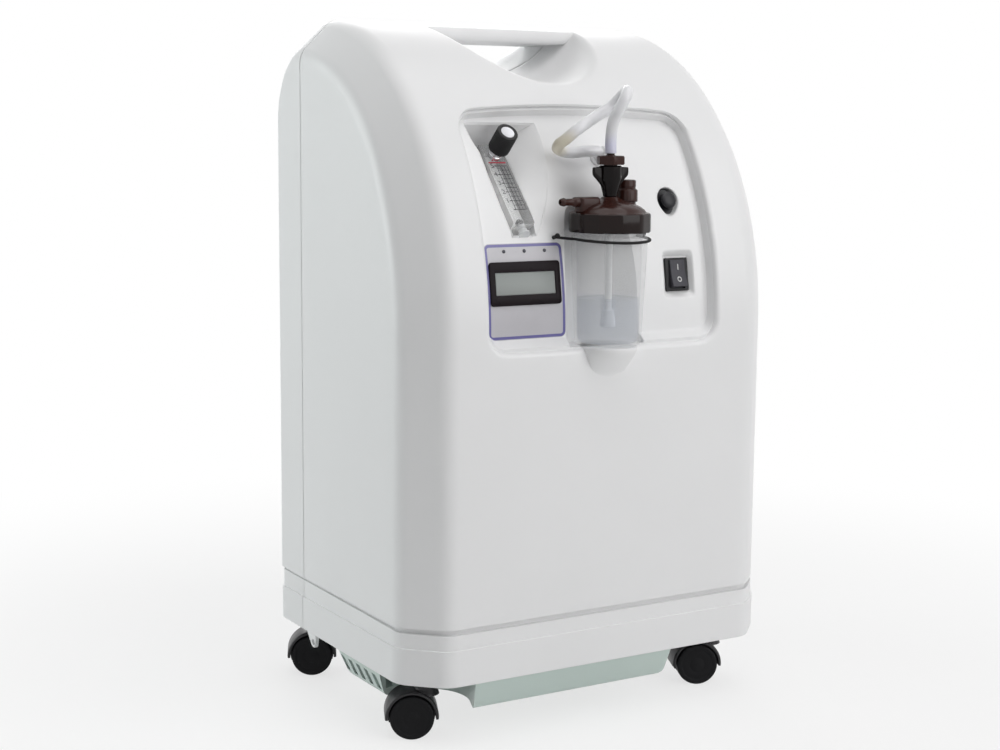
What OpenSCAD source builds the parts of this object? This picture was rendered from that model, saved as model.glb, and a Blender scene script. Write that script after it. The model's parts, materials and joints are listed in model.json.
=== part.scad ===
// Home oxygen concentrator on casters, millimetres, front towards -Y, floor at z = 0

/* [Cabinet] */
// Width over the base band
body_w = 385; // [360:1:450]
// Depth over the base band
body_d = 285; // [280:1:345]
// Height of the top above the floor
body_h = 622; // [615:1:750]
// Wall thickness of the moulded shells
wall = 3; // [2.5:0.1:3.5]
// Width of the slanted band along the front edges
edge_band = 32; // [24:1:38]
// Width of the slanted rear edges
rear_edge = 9; // [6:1:14]
// How far the round of the rear top edge falls
rear_drop = 60; // [30:1:80]
// Depth of the rear shell
rear_shell_d = 61; // [55:1:66]
// Height below the top at which the front starts to lean back
lean_h = 270; // [260:1:280]
// Radius of the first part of the lean
lean_r = 312; // [300:1:330]

/* [Base] */
// Height of the underside of the base
base_bottom = 56; // [52:1:62]
// Height of the shoulder round the base
ridge_z = 88; // [80:1:94]
// Height of the top of the base
base_top = 106; // [102:1:112]
// How far the shoulder stands out from the cabinet
ridge_out = 1.5; // [0.5:0.1:3]
// Thickness of the base floor and of the chassis plate
floor_t = 4; // [3:0.5:5]
// Ground clearance of the under-tray
tray_clear = 28; // [24:1:34]
// Distance of the right end of the under-tray from the middle
tray_right = 78; // [60:1:90]
// Depth of the under-tray, front to rear
tray_d = 158; // [150:1:170]

/* [Handle] */
// Radius of the hand trough
trough_r = 94; // [88:1:100]
// Depth of the trough below the top
trough_depth = 47; // [42:1:52]
// Height of the carrying bar
bar_h = 18; // [14:1:20]
// Depth of the carrying bar, front to rear
bar_d = 70; // [60:1:76]

/* [Panel] */
// Width of the sunk panel
panel_w = 236; // [228:1:240]
// Sideways place of the panel's middle
panel_x = -2; // [-4:1:4]
// Height of the sunk panel
panel_h = 205; // [202:1:208]
// Distance from the top of the cabinet down to the panel
panel_drop = 78; // [76:1:84]
// Depth of the sunk panel
panel_depth = 12; // [10:0.5:14]
// Corner radius of the sunk panel
panel_corner = 16; // [8:1:24]

/* [Humidifier] */
// Largest radius of the jar
jar_r = 33.5; // [30:0.1:41]
// How much narrower the jar is at its bottom
jar_taper = 4.5; // [2:0.5:7]
// Height of the jar
jar_h = 101; // [90:1:104]
// Wall thickness of the jar
jar_wall = 2; // [1.5:0.1:3]
// Thickness of the lid rim round the neck of the jar
lid_skirt = 4.7; // [3.5:0.1:6]
// Height of the lid rim
lid_rim_h = 17; // [14:1:18]
// Depth of water in the jar
water_h = 41; // [20:1:60]
// Space round the lid in its pocket
jar_clear = 3.5; // [2.5:0.1:6]
// Distance of the bottle axis behind the front face
bottle_in = 4; // [2:0.5:8]
// Outer diameter of the oxygen hose
hose_d = 9; // [8:0.5:10]

/* [Flowmeter] */
// Width of the clear block
meter_w = 20; // [17:0.5:22]
// Thickness of the clear block
meter_t = 16; // [14:0.5:18]
// Length of the clear block
meter_l = 96; // [88:1:98]
// Angle at which the block leans back
meter_tilt = 42.6; // [40:0.1:45]
// Radius of the float ball
float_r = 3.5; // [3:0.1:4]
// Radius of the knob
knob_r = 8.5; // [7:0.1:10]
// Length of the knob
knob_l = 20; // [14:1:22]

/* [Casters] */
// Radius of the wheels
wheel_r = 19.5; // [16:0.1:24]
// Width of one wheel
wheel_w = 12; // [9:0.5:13]
// Thickness of the hood over the wheels, with its running space
hood_t = 4; // [3:0.1:5]
// Offset of the axle from the swivel stem
trail = 12; // [10:0.5:15]
// Inset of the stems from the sides of the base
stem_in_x = 38.5; // [38:0.5:46]
// Half the distance between the front and the rear stems
stem_y = 102.5; // [95:0.5:105]
// How far the middle of the casters stands behind the middle of the base
stem_back = 12.4; // [0:0.1:14]
// Swivel of the casters as they stand
caster_yaw = 25; // [-180:1:180]

/* [Inside] */
// Radius of a sieve bed
bed_r = 38; // [30:1:46]
// Height of a sieve bed
bed_h = 290; // [240:1:300]
// Radius of the compressor motor
motor_r = 50; // [42:1:52]
// Length of the compressor motor
motor_l = 116; // [100:1:124]
// Side of the cooling fan
fan_side = 120; // [100:1:120]

/* [Hidden] */
$fn = 64;
hull_fn = 32;
over = 1;
run_clear = 0.05;
seat_clear = 0.3;
gap = 0.4;

// Sizes that follow from the ones above
neck_in = 3;
neck_r = jar_r - neck_in;
jar_foot_r = jar_r - jar_taper;
lid_r = neck_r + seat_clear + lid_skirt;
hood_r = wheel_r + hood_t;

// Cabinet frame: the body is set so that the whole part is centred front to rear
cab_w = body_w - 2 * ridge_out;
cab_d = body_d - 2 * ridge_out;
strap_d = 3.4;
strap_r = jar_r + seat_clear + strap_d / 2;
front_reach = max(strap_r + strap_d / 2, lid_r) - bottle_in;
cover_out = 4;
front_y = -(cab_d + cover_out - front_reach) / 2;
rear_y = front_y + cab_d;
mid_y = (front_y + rear_y) / 2;
seam_y = rear_y - rear_shell_d;

// Side outline: upright, two arcs up to the top, and the round of the rear edge
lean_a = 30;
knee_z = body_h - lean_h;
lean_c = [front_y + lean_r, knee_z];
top_r = (lean_h - lean_r * sin(lean_a)) / (1 - sin(lean_a));
top_c = [lean_c.x - (lean_r - top_r) * cos(lean_a), body_h - top_r];
arc_steps = 6;
rear_steps = 6;
band_k = sqrt(2) - 1;

function arc(c, r, a0, a1, from) = [
    for (k = [from : arc_steps])
        let (a = a0 + (a1 - a0) * k / arc_steps)
            [c.x - r * cos(a), c.y + r * sin(a)]];

function side_outline(inset, rear_inset, bottom) = concat(
    [[front_y + inset, bottom]],
    arc(lean_c, lean_r - inset, 0, lean_a, 0),
    arc(top_c, top_r - inset, lean_a, 90, 1),
    [for (k = [1 : rear_steps])
        let (a = 90 * k / rear_steps)
            [top_c.x + (rear_y - rear_inset - top_c.x) * sin(a), body_h - inset - rear_drop * (1 - cos(a))]],
    [[rear_y - rear_inset, bottom]]);

// Plan outline with slanted corners, grown by o
function plan(o) = let (
    hw = cab_w / 2 + o,
    f = front_y - o,
    r = rear_y + o,
    c = edge_band + (1 - band_k) * o,
    q = rear_edge + (1 - band_k) * o)
    [[-hw + c, f], [hw - c, f], [hw, f + c], [hw, r - q],
     [hw - q, r], [-hw + q, r], [-hw, r - q], [-hw, f + c]];

// Front surface of the panel floor, its y and its lean at height z
floor_r = lean_r - panel_depth;
function panel_lean(z) = z < knee_z ? 0 : asin(min(0.5, (z - knee_z) / floor_r));
function panel_y(z) =
    z < knee_z ? front_y + panel_depth :
    z < knee_z + floor_r * sin(lean_a) ? lean_c.x - floor_r * cos(panel_lean(z)) :
    top_c.x - sqrt(pow(top_r - panel_depth, 2) - pow(z - top_c.y, 2));

panel_top = body_h - panel_drop;
ledge_z = panel_top - panel_h;
bottle_y = front_y + bottle_in;
pocket_r = lid_r + jar_clear;

module span(z0, z1) {
    translate([0, 0, z0]) linear_extrude(z1 - z0) children();
}

module slab(half_w, outline) {
    rotate([90, 0, 90]) linear_extrude(2 * half_w, center = true) polygon(outline);
}

// The cabinet's outer form, moved in by inset on every side but the bottom
module cabinet(inset, bottom) {
    band = edge_band + band_k * inset;
    hull() {
        slab(cab_w / 2 - band, side_outline(inset, inset, bottom));
        slab(cab_w / 2 - inset, side_outline(band, rear_edge + band_k * inset, bottom));
    }
}

// Everything in front of y, or behind it
module front_half(y) {
    translate([-body_w, y - 3 * body_d, -over]) cube([2 * body_w, 3 * body_d, 2 * body_h]);
}

module rear_half(y) {
    translate([-body_w, y, -over]) cube([2 * body_w, 3 * body_d, 2 * body_h]);
}

module rounded(w, h, r) {
    square([w - 2 * r, h], center = true);
    square([w, h - 2 * r], center = true);
    for (sx = [-1, 1], sz = [-1, 1]) {
        translate([sx * (w / 2 - r), sz * (h / 2 - r)]) circle(r);
    }
}

// Prism along Y of the panel outline, grown by o
module panel_prism(o) {
    translate([panel_x, rear_y - body_d / 3, panel_top - panel_h / 2])
        rotate([90, 0, 0])
            linear_extrude(body_d) rounded(panel_w + 2 * o, panel_h + 2 * o, panel_corner + o);
}

// Local frame on the panel floor: -Y points out of the panel, Z up along it
module on_panel(x, z) {
    translate([x, panel_y(z), z]) rotate([-panel_lean(z), 0, 0]) children();
}

// Box in a local frame, w by h, from y0 to y1
module plate(w, h, y0, y1) {
    translate([-w / 2, y0, -h / 2]) cube([w, y1 - y0, h]);
}

// Cylinder along Y from y0 to y1
module rod_y(r, y0, y1) {
    translate([0, y0, 0]) rotate([-90, 0, 0]) cylinder(r = r, h = y1 - y0);
}

module rod_x(r, x0, x1) {
    translate([x0, 0, 0]) rotate([0, 90, 0]) cylinder(r = r, h = x1 - x0);
}

// Hand trough through the top, lower in front, grown by o
trough_slope = 4.6;
module trough(o) {
    translate([0, seam_y, body_h - trough_depth + trough_r])
        rotate([trough_slope, 0, 0]) rod_y(trough_r + o, -body_d * 2, body_d);
}

module bar_block() {
    bar_round = 6;
    rotate([90, 0, 90])
        linear_extrude(2 * trough_r, center = true)
            translate([seam_y, body_h - bar_h / 2]) rounded(bar_d, bar_h, bar_round);
    translate([-trough_r, seam_y - bar_d / 2, body_h - bar_h / 2])
        cube([2 * trough_r, bar_d, bar_h]);
}

// Flowmeter frame: origin at the top of the block's face, -Y out of the face
meter_x = -75;
meter_y = front_y + 80;
meter_z = panel_top - 36;
meter_head = 4;
seat_y = meter_t + gap;
module meter_frame() {
    translate([meter_x, meter_y, meter_z]) rotate([-meter_tilt, 0, 0]) children();
}

// Tapered pocket round the flowmeter, grown by o
module meter_pocket(o) {
    mouth_w = 84;
    mouth_out = 46;
    side_room = 4;
    foot = meter_l - meter_head + 3;
    head = meter_head + 5;
    flare = 4;
    meter_frame() hull() {
        translate([-meter_w / 2 - side_room - o, seat_y + o - over, -foot - o])
            cube([meter_w + 2 * (side_room + o), over, foot + head + 2 * o]);
        translate([-mouth_w / 2 - o, -mouth_out, -foot - o])
            cube([mouth_w + 2 * o, over, foot + head + flare + 2 * o]);
    }
}

// Places on the panel
lcd_z = ledge_z + 56;
lcd_w = 59;
lcd_h = 19;
lcd_t = 13;
frame_w = 67;
frame_h = 35;
label_w = 74;
label_h = 81;
label_t = 0.4;
label_lap = 0.5;
label_x = -pocket_r + label_lap - label_w / 2;
label_z = ledge_z + 49;
lcd_x = label_x - 1;
lamp_z = ledge_z + 83;
lamp_pitch = 20;
lamp_r = 1.6;
switch_x = 84;
switch_z = ledge_z + 58;
switch_w = 25;
switch_h = 30;
switch_sink = 5;
switch_body_w = switch_w - 4;
switch_body_h = switch_h - 3;
switch_body_d = 22;
well_w = 31;
well_h = 41;
breaker_x = 83;
breaker_z = ledge_z + 123;
breaker_r = 11;
breaker_well_r = breaker_r + 3;
breaker_sink = 6;
breaker_thread_r = 7;
outlet_x = 18;
outlet_z = panel_top - 45.7;
outlet_r = 5;
fitting_r = 4;
fitting_z = [-10, -82];
fitting_in = 3;

// How far the panel's holes are cut in front of the panel floor and behind it
hole_out = 6;
hole_in = 8;

module panel_holes() {
    on_panel(lcd_x, lcd_z) plate(lcd_w + 2 * gap, lcd_h + 2 * gap, -hole_out / 2, hole_in);
    for (k = [-1 : 1]) {
        on_panel(lcd_x + k * lamp_pitch, lamp_z) rod_y(lamp_r + gap, -over, hole_in);
    }
    on_panel(switch_x, switch_z) {
        plate(well_w, well_h, -hole_out, switch_sink);
        plate(switch_body_w + 2 * gap, switch_body_h + 2 * gap, 0, switch_sink + 2 * wall);
    }
    on_panel(breaker_x, breaker_z) {
        rod_y(breaker_well_r, -hole_out, breaker_sink);
        rod_y(breaker_thread_r + gap, 0, breaker_sink + 2 * wall);
    }
    on_panel(outlet_x, outlet_z) rod_y(outlet_r + run_clear, -over, hole_in);
    meter_frame() for (z = fitting_z) {
        translate([0, 0, z]) rod_y(fitting_r + gap, 0, seat_y + 2 * wall);
    }
}

// Ledge under the jar, drawn in down to the front face
module ledge() {
    ledge_h = 24;
    foot_r = 17;
    lip = 2;
    lip_in = 3;
    hull() {
        translate([0, bottle_y, ledge_z - lip]) cylinder(r = jar_foot_r - lip_in, h = lip, $fn = hull_fn);
        translate([0, front_y + foot_r + wall, ledge_z - ledge_h])
            cylinder(r = foot_r, h = over, $fn = hull_fn);
    }
}

module front_shell() {
    color("whitesmoke") intersection() {
        front_half(seam_y - gap / 2);
        difference() {
            union() {
                difference() {
                    cabinet(0, base_top);
                    difference() {
                        trough(0);
                        bar_block();
                    }
                    difference() {
                        panel_prism(0);
                        cabinet(panel_depth, base_top - over);
                    }
                    meter_pocket(0);
                    difference() {
                        cabinet(wall, base_top - over);
                        trough(wall);
                        difference() {
                            panel_prism(wall);
                            cabinet(panel_depth + wall, base_top - over);
                        }
                        translate([0, bottle_y, ledge_z - wall])
                            cylinder(r = pocket_r + wall, h = panel_h);
                        meter_pocket(wall);
                        on_panel(switch_x, switch_z)
                            plate(well_w + 2 * wall, well_h + 2 * wall, -hole_out, switch_sink + wall);
                        on_panel(breaker_x, breaker_z)
                            rod_y(breaker_well_r + wall, -hole_out, breaker_sink + wall);
                    }
                }
                ledge();
            }
            translate([0, bottle_y, ledge_z]) cylinder(r = pocket_r, h = panel_h);
            panel_holes();
            peg_places() rod_y(peg_r + run_clear, -over, hole_in);
        }
    }
}

// Rear face places
cover_w = 124;
cover_h = 104;
cover_z = body_h - 170;
cover_lap = 8;
cover_hole_w = cover_w - 2 * cover_lap;
cover_hole_h = cover_h - 2 * cover_lap;
inlet_x = 90;
inlet_z = base_top + 50;
inlet_w = 30;
inlet_h = 24;

module rear_shell() {
    slot_n = 9;
    slot_pitch = 12;
    slot_w = 90;
    slot_h = 5;
    slot_x = -60;
    slot_z = base_top + 30;
    color("whitesmoke") intersection() {
        rear_half(seam_y + gap / 2);
        difference() {
            cabinet(0, base_top);
            difference() {
                trough(0);
                bar_block();
            }
            difference() {
                cabinet(wall, base_top - over);
                trough(wall);
            }
            translate([0, rear_y, cover_z]) plate(cover_hole_w, cover_hole_h, -3 * wall, over);
            translate([inlet_x, rear_y, inlet_z])
                plate(inlet_w + 2 * gap, inlet_h + 2 * gap, -3 * wall, over);
            for (k = [0 : slot_n - 1]) {
                translate([slot_x, rear_y, slot_z + k * slot_pitch]) plate(slot_w, slot_h, -3 * wall, over);
            }
        }
    }
}

// Base band with its floor; the floor has the casters' holes and an air opening
air_w = 120;
air_d = 84;
tray_rear = front_y + tray_d;
air_y = (front_y + tray_rear) / 2;
stem_x = body_w / 2 - stem_in_x;
stem_mid = mid_y + stem_back;
stem_r = 4;
groove_h = 3;
groove_in = 1.6;

module at_stems() {
    for (sx = [-1, 1], sy = [-1, 1]) {
        translate([sx * stem_x, stem_mid + sy * stem_y, 0]) children();
    }
}

module base_band() {
    difference() {
        union() {
            span(base_bottom, ridge_z) polygon(plan(ridge_out));
            span(ridge_z, base_top - groove_h) polygon(plan(0));
            span(base_top - groove_h, base_top) polygon(plan(-groove_in));
        }
        span(base_bottom + floor_t, base_top + over) polygon(plan(-groove_in - wall));
        translate([-air_w / 2, air_y - air_d / 2, base_bottom - over])
            cube([air_w, air_d, floor_t + 2 * over]);
        at_stems() translate([0, 0, base_bottom - over])
            cylinder(r = stem_r + run_clear, h = floor_t + 2 * over);
    }
}

// Lug with an eye below the left side, in front of the seam
lug_t = 3.5;
lug_in = 2;
lug_l = 20;
lug_h = 14;
eye_r = 5;
eye_hole_r = 2.7;
module lug() {
    eye_y = seam_y - gap - lug_l + eye_r;
    eye_z = base_bottom - lug_h + eye_r;
    translate([-cab_w / 2 + lug_in, 0, 0]) difference() {
        union() {
            rotate([90, 0, 90]) linear_extrude(lug_t)
                polygon([[eye_y - eye_r, base_bottom], [eye_y - eye_r, eye_z], [eye_y, eye_z - eye_r],
                         [eye_y + eye_r, eye_z - eye_r / 2], [seam_y - gap, base_bottom]]);
            translate([0, eye_y, eye_z]) rod_x(eye_r, 0, lug_t);
        }
        translate([0, eye_y, eye_z]) rod_x(eye_hole_r, -over, lug_t + over);
    }
}

module base_front() {
    color("white") {
        intersection() {
            front_half(seam_y - gap / 2);
            base_band();
        }
        lug();
    }
}

module base_rear() {
    color("white") intersection() {
        rear_half(seam_y + gap / 2);
        base_band();
    }
}

plate_z = base_bottom + 2 * floor_t;

module chassis_plate() {
    color("silver") difference() {
        span(base_bottom + floor_t, plate_z) polygon(plan(-groove_in - wall - gap));
        translate([-air_w / 2, air_y - air_d / 2, base_bottom]) cube([air_w, air_d, 3 * floor_t]);
        at_stems() translate([0, 0, base_bottom]) cylinder(r = stem_r + run_clear, h = 3 * floor_t);
    }
}

// Vented tray below the front of the base, cut away round the casters
tray_t = 2.5;
tray_in = 2;
tray_taper = 13;
swing_room = 4;
caster_room = hood_r + trail + swing_room;

// Plan of the tray at a taper, moved in by o
function tray_plan(taper, o) = let (
    left = -cab_w / 2 + tray_in + taper + o,
    front = front_y + tray_in + taper + o)
    [[left, front], [tray_right - o, front], [tray_right - o, tray_rear - o], [left, tray_rear - o]];

// Tapered form of the tray, moved in by o and taken up past its top by rise
module tray_form(o, rise) {
    hull() {
        span(base_bottom - over, base_bottom + rise) polygon(tray_plan(0, o));
        span(tray_clear + o, tray_clear + o + over) polygon(tray_plan(tray_taper, o));
    }
}

// Room for the front left caster, out to the corner of the base, of radius r
module caster_bay(r) {
    bay_turn = 22;
    bay_in = 1.5;
    translate([-stem_x, stem_mid - stem_y, 0]) {
        cylinder(r = r, h = body_h);
        rotate([0, 0, -bay_turn]) translate([bay_in - r, -body_d, 0])
            cube([2 * (r - bay_in), body_d, body_h]);
    }
}

module under_tray() {
    slot_n = 5;
    slot_pitch = 15.5;
    slot_w = 7.5;
    slot_h = 15;
    slot_rear = 8;
    color([0.72, 0.78, 0.75]) difference() {
        tray_form(0, 0);
        difference() {
            tray_form(tray_t, over);
            caster_bay(caster_room + tray_t);
        }
        translate([0, 0, -over]) caster_bay(caster_room);
        for (k = [0 : slot_n - 1]) {
            translate([-cab_w / 2, tray_rear - slot_rear - k * slot_pitch, (tray_clear + base_bottom) / 2])
                cube([4 * tray_taper, slot_w, slot_h], center = true);
        }
    }
}

// Casters: stem in the base, hood on the stem, wheel set in the hood
stem_collar_r = 9;
collar_h = 3;
axle_r = 3;
rib_w = 6;
side_gap = 0.4;
hood_clear = 1.3;
hood_w = rib_w + 2 * side_gap + 2 * wheel_w - 1.5;
boss_top = base_bottom - collar_h - seat_clear;
socket_z = wheel_r + hood_r - 1;
stem_end = socket_z + 0.5;
nut_h = 6;
nut_r = 8;

module caster_stems() {
    color("silver") at_stems() {
        translate([0, 0, stem_end]) cylinder(r = stem_r, h = plate_z + nut_h - stem_end);
        translate([0, 0, base_bottom - collar_h]) cylinder(r = stem_collar_r, h = collar_h);
        translate([0, 0, plate_z]) cylinder(r = nut_r, h = nut_h, $fn = 6);
    }
}

module at_caster(sx, sy) {
    translate([sx * stem_x, stem_mid + sy * stem_y, 0]) rotate([0, 0, -caster_yaw]) children();
}

module caster_hood(sx, sy) {
    boss_r = 9;
    skirt = 2;
    color([0.2, 0.2, 0.21]) at_caster(sx, sy) difference() {
        union() {
            difference() {
                union() {
                    translate([-trail, 0, wheel_r]) rod_y(hood_r, -hood_w / 2, hood_w / 2);
                    translate([0, 0, wheel_r]) cylinder(r = boss_r, h = boss_top - wheel_r);
                }
                translate([-trail, 0, wheel_r]) rod_y(wheel_r + hood_clear, -hood_w, hood_w);
                translate([-trail - 2 * hood_r, -2 * hood_r, -hood_r])
                    cube([4 * hood_r, 4 * hood_r, wheel_r - skirt + hood_r]);
            }
            translate([-trail, 0, wheel_r]) intersection() {
                rod_y(wheel_r + hood_clear + over, -rib_w / 2, rib_w / 2);
                translate([-hood_r, -hood_r, -axle_r * 2.5]) cube([2 * hood_r, 2 * hood_r, 2 * hood_r]);
            }
        }
        translate([-trail, 0, wheel_r]) rod_y(axle_r + run_clear, -hood_w, hood_w);
        translate([0, 0, socket_z]) cylinder(r = stem_r + run_clear, h = body_h);
    }
}

module caster_hood_fl() { caster_hood(-1, -1); }
module caster_hood_fr() { caster_hood(1, -1); }
module caster_hood_rl() { caster_hood(-1, 1); }
module caster_hood_rr() { caster_hood(1, 1); }

module wheel_set(sx, sy) {
    inner = rib_w / 2 + side_gap;
    dish_r = wheel_r - 5;
    hub_r = 7;
    dish = 1.5;
    cap = 3;
    press = 0.02;
    color([0.1, 0.1, 0.1]) at_caster(sx, sy) translate([-trail, 0, wheel_r]) {
        for (side = [0, 180]) {
            rotate([0, 0, side]) difference() {
                rod_y(wheel_r, inner, inner + wheel_w);
                difference() {
                    rod_y(dish_r, inner + wheel_w - dish, inner + wheel_w + over);
                    rod_y(hub_r, inner, inner + 2 * wheel_w);
                }
                rod_y(axle_r + press, 0, inner + wheel_w - cap);
            }
        }
        rod_y(axle_r, -inner - wheel_w + cap + press, inner + wheel_w - cap - press);
    }
}

module wheel_set_fl() { wheel_set(-1, -1); }
module wheel_set_fr() { wheel_set(1, -1); }
module wheel_set_rl() { wheel_set(-1, 1); }
module wheel_set_rr() { wheel_set(1, 1); }

// Display group
module control_label() {
    label_corner = 5;
    color("lightgray") difference() {
        intersection() {
            translate([label_x, mid_y, label_z]) rotate([90, 0, 0])
                linear_extrude(body_d) rounded(label_w, label_h, label_corner);
            difference() {
                cabinet(panel_depth - label_t, base_top);
                cabinet(panel_depth, base_top - over);
            }
        }
        panel_holes();
    }
}

frame_y = -1.8;
module lcd_frame() {
    frame_t = 1.2;
    frame_corner = 3;
    color([0.12, 0.1, 0.11]) on_panel(lcd_x, lcd_z) difference() {
        rotate([90, 0, 0]) translate([0, 0, -frame_y - frame_t])
            linear_extrude(frame_t) rounded(frame_w, frame_h, frame_corner);
        plate(lcd_w + 2 * gap, lcd_h + 2 * gap, -hole_out, hole_in);
    }
}

module lcd_display() {
    glass_sink = 0.5;
    color([0.58, 0.61, 0.59]) on_panel(lcd_x, lcd_z) plate(lcd_w, lcd_h, frame_y + glass_sink, lcd_t);
}

module indicator_lamps() {
    lamp_out = 1;
    lamp_in = 6;
    color("dimgray") for (k = [-1 : 1]) {
        on_panel(lcd_x + k * lamp_pitch, lamp_z) rod_y(lamp_r, -lamp_out, lamp_in);
    }
}

module control_board() {
    board_w = 66;
    board_h = 50;
    board_t = 1.6;
    chip = 14;
    chip_t = 6;
    chip_pitch = 20;
    chip_z = 8;
    color("seagreen") on_panel(lcd_x, lcd_z) {
        plate(board_w, board_h, lcd_t, lcd_t + board_t);
        for (k = [-1 : 1]) {
            translate([k * chip_pitch, 0, chip_z])
                plate(chip, chip, lcd_t + board_t, lcd_t + board_t + chip_t);
        }
    }
}

// Flowmeter group, in the flowmeter frame
float_clear = 0.5;
bore_r = float_r + float_clear;
bore_y = 6;
bore_top = -18;
block_foot = -(meter_l - meter_head);
plug_in = 8;
bonnet_z = -10;
bonnet_r = 6;
bonnet_l = 11;
knob_stem_r = 2;
stem_stop = 3;

module flowmeter_block() {
    color([0.9, 0.95, 0.97]) meter_frame() difference() {
        translate([-meter_w / 2, 0, block_foot]) cube([meter_w, meter_t, meter_l]);
        translate([0, bore_y, block_foot - over]) cylinder(r = bore_r, h = bore_top - block_foot + over);
        for (z = fitting_z) {
            translate([0, 0, z]) rod_y(fitting_r, meter_t - fitting_in, meter_t + over);
        }
    }
}

module flowmeter_plug() {
    flange = 1.4;
    color("gainsboro") meter_frame() translate([0, bore_y, block_foot]) {
        cylinder(r = bore_r - run_clear, h = plug_in);
        translate([0, 0, -flange]) cylinder(r = bore_r + flange, h = flange);
    }
}

module flowmeter_fittings() {
    fitting_l = 16;
    color("goldenrod") meter_frame() for (z = fitting_z) {
        translate([0, 0, z]) difference() {
            rod_y(fitting_r - run_clear, meter_t - fitting_in, seat_y + fitting_l);
            rod_y(fitting_r / 2, meter_t - fitting_in + over, seat_y + fitting_l + over);
        }
    }
}

module float_ball() {
    color([0.1, 0.1, 0.1]) meter_frame()
        translate([0, bore_y, block_foot + plug_in + seat_clear + float_r]) sphere(r = float_r);
}

module valve_bonnet() {
    color("silver") meter_frame() translate([0, 0, bonnet_z]) difference() {
        rod_y(bonnet_r, -bonnet_l, 0);
        rod_y(knob_stem_r + run_clear, -bonnet_l - over, -stem_stop / 2);
    }
}

cap_sink = 1;
knob_rim = 2;
module flow_knob() {
    color([0.12, 0.12, 0.12]) meter_frame() translate([0, 0, bonnet_z]) {
        difference() {
            rod_y(knob_r, -bonnet_l - gap - knob_l, -bonnet_l - gap);
            rod_y(knob_r - knob_rim, -bonnet_l - gap - knob_l - over, -bonnet_l - gap - knob_l + cap_sink);
        }
        rod_y(knob_stem_r, -bonnet_l - gap - over, -stem_stop);
    }
}

module knob_cap() {
    cap_y = -bonnet_l - gap - knob_l;
    color("silver") meter_frame() translate([0, 0, bonnet_z])
        rod_y(knob_r - knob_rim - run_clear, cap_y, cap_y + cap_sink);
}

// Switch and breaker, in frames on the panel
switch_rim = 2.5;
rocker_w = switch_body_w - 2 * switch_rim;
rocker_h = switch_body_h - 3;
pivot_l = 1.5;
rocker_deg = 8;
pivot_r = 1.5;
pivot_y = switch_sink + 2;

module switch_housing() {
    lip = 2;
    swing = 0.7;
    room = 9;
    color([0.16, 0.16, 0.18]) on_panel(switch_x, switch_z) difference() {
        union() {
            plate(switch_w, switch_h, switch_sink - lip, switch_sink);
            plate(switch_body_w, switch_body_h, switch_sink, switch_sink + switch_body_d);
        }
        plate(rocker_w + 2 * seat_clear, rocker_h + 2 * swing, switch_sink - lip - over, switch_sink + room);
        translate([0, pivot_y, 0])
            rod_x(pivot_r + run_clear, -rocker_w / 2 - pivot_l - seat_clear,
                  rocker_w / 2 + pivot_l + seat_clear);
    }
}

// Outline of the rocker in (y, z) round its pivot, with a shallow V on top
module rocker() {
    half = rocker_h / 2;
    crown = 7.5;
    dip = 6;
    skirt = 2.2;
    color([0.22, 0.22, 0.24]) on_panel(switch_x, switch_z) translate([0, pivot_y, 0]) {
        rotate([-rocker_deg, 0, 0]) {
            rotate([90, 0, 90]) linear_extrude(rocker_w, center = true)
                polygon([[-crown, -half], [-dip, 0], [-crown, half], [0, half], [skirt, half / 2],
                         [skirt, -half / 2], [0, -half]]);
        }
        rod_x(pivot_r, -rocker_w / 2 - pivot_l, rocker_w / 2 + pivot_l);
    }
}

button_travel = 3;
button_r = 9;
button_shaft_r = 5;
bezel = 2;
module breaker_body() {
    bezel_w = 1.5;
    body_l = 34;
    bore_l = 14;
    color([0.15, 0.15, 0.16]) on_panel(breaker_x, breaker_z) difference() {
        union() {
            rod_y(breaker_r + bezel_w, breaker_sink - bezel, breaker_sink);
            rod_y(breaker_thread_r, breaker_sink, breaker_sink + body_l);
        }
        rod_y(button_shaft_r + run_clear, breaker_sink - bezel - over, breaker_sink + bore_l);
    }
}

module reset_button() {
    head_l = 4;
    dome_r = 22;
    shaft_in = 7;
    back = breaker_sink - bezel - button_travel - seat_clear;
    color([0.08, 0.08, 0.08]) on_panel(breaker_x, breaker_z) {
        intersection() {
            rod_y(button_r, back - head_l, back);
            translate([0, back - head_l + dome_r, 0]) sphere(r = dome_r);
        }
        rod_y(button_shaft_r, back - over, breaker_sink + shaft_in);
    }
}

// Oxygen outlet: a stub square to the panel with a barb turned to the left
barb_r = 3.2;
stub_out = 14.8;
elbow_l = 14;
module outlet_elbow() {
    flange = 2;
    flange_w = 3;
    stub_in = 12;
    color([0.25, 0.16, 0.14]) on_panel(outlet_x, outlet_z) {
        difference() {
            union() {
                rod_y(outlet_r + flange_w, -flange, 0);
                rod_y(outlet_r, -stub_out, stub_in);
                translate([0, -stub_out, 0]) sphere(r = outlet_r);
                translate([0, -stub_out, 0]) rod_x(barb_r, -elbow_l, 0);
            }
            rod_y(barb_r / 2, -stub_out, stub_in + over);
            translate([0, -stub_out, 0]) rod_x(barb_r / 2, -elbow_l - over, 0);
        }
    }
}

// Humidifier, round the bottle axis
neck_h = 3;
foot_round = 5;
under_lid = 2;
shoulder = 3;
jar_z = ledge_z + gap;
rim_z = jar_z + jar_h - neck_h;
dome_z = rim_z + lid_rim_h;
dome_h = 13;
stem_top_r = 6;
coupling_z = dome_z + dome_h;
coupling_h = 27;
adapter_z = coupling_z + coupling_h;
hex_h = 8;
spigot_r = 3;

module at_bottle() {
    translate([0, bottle_y, 0]) children();
}

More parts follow.
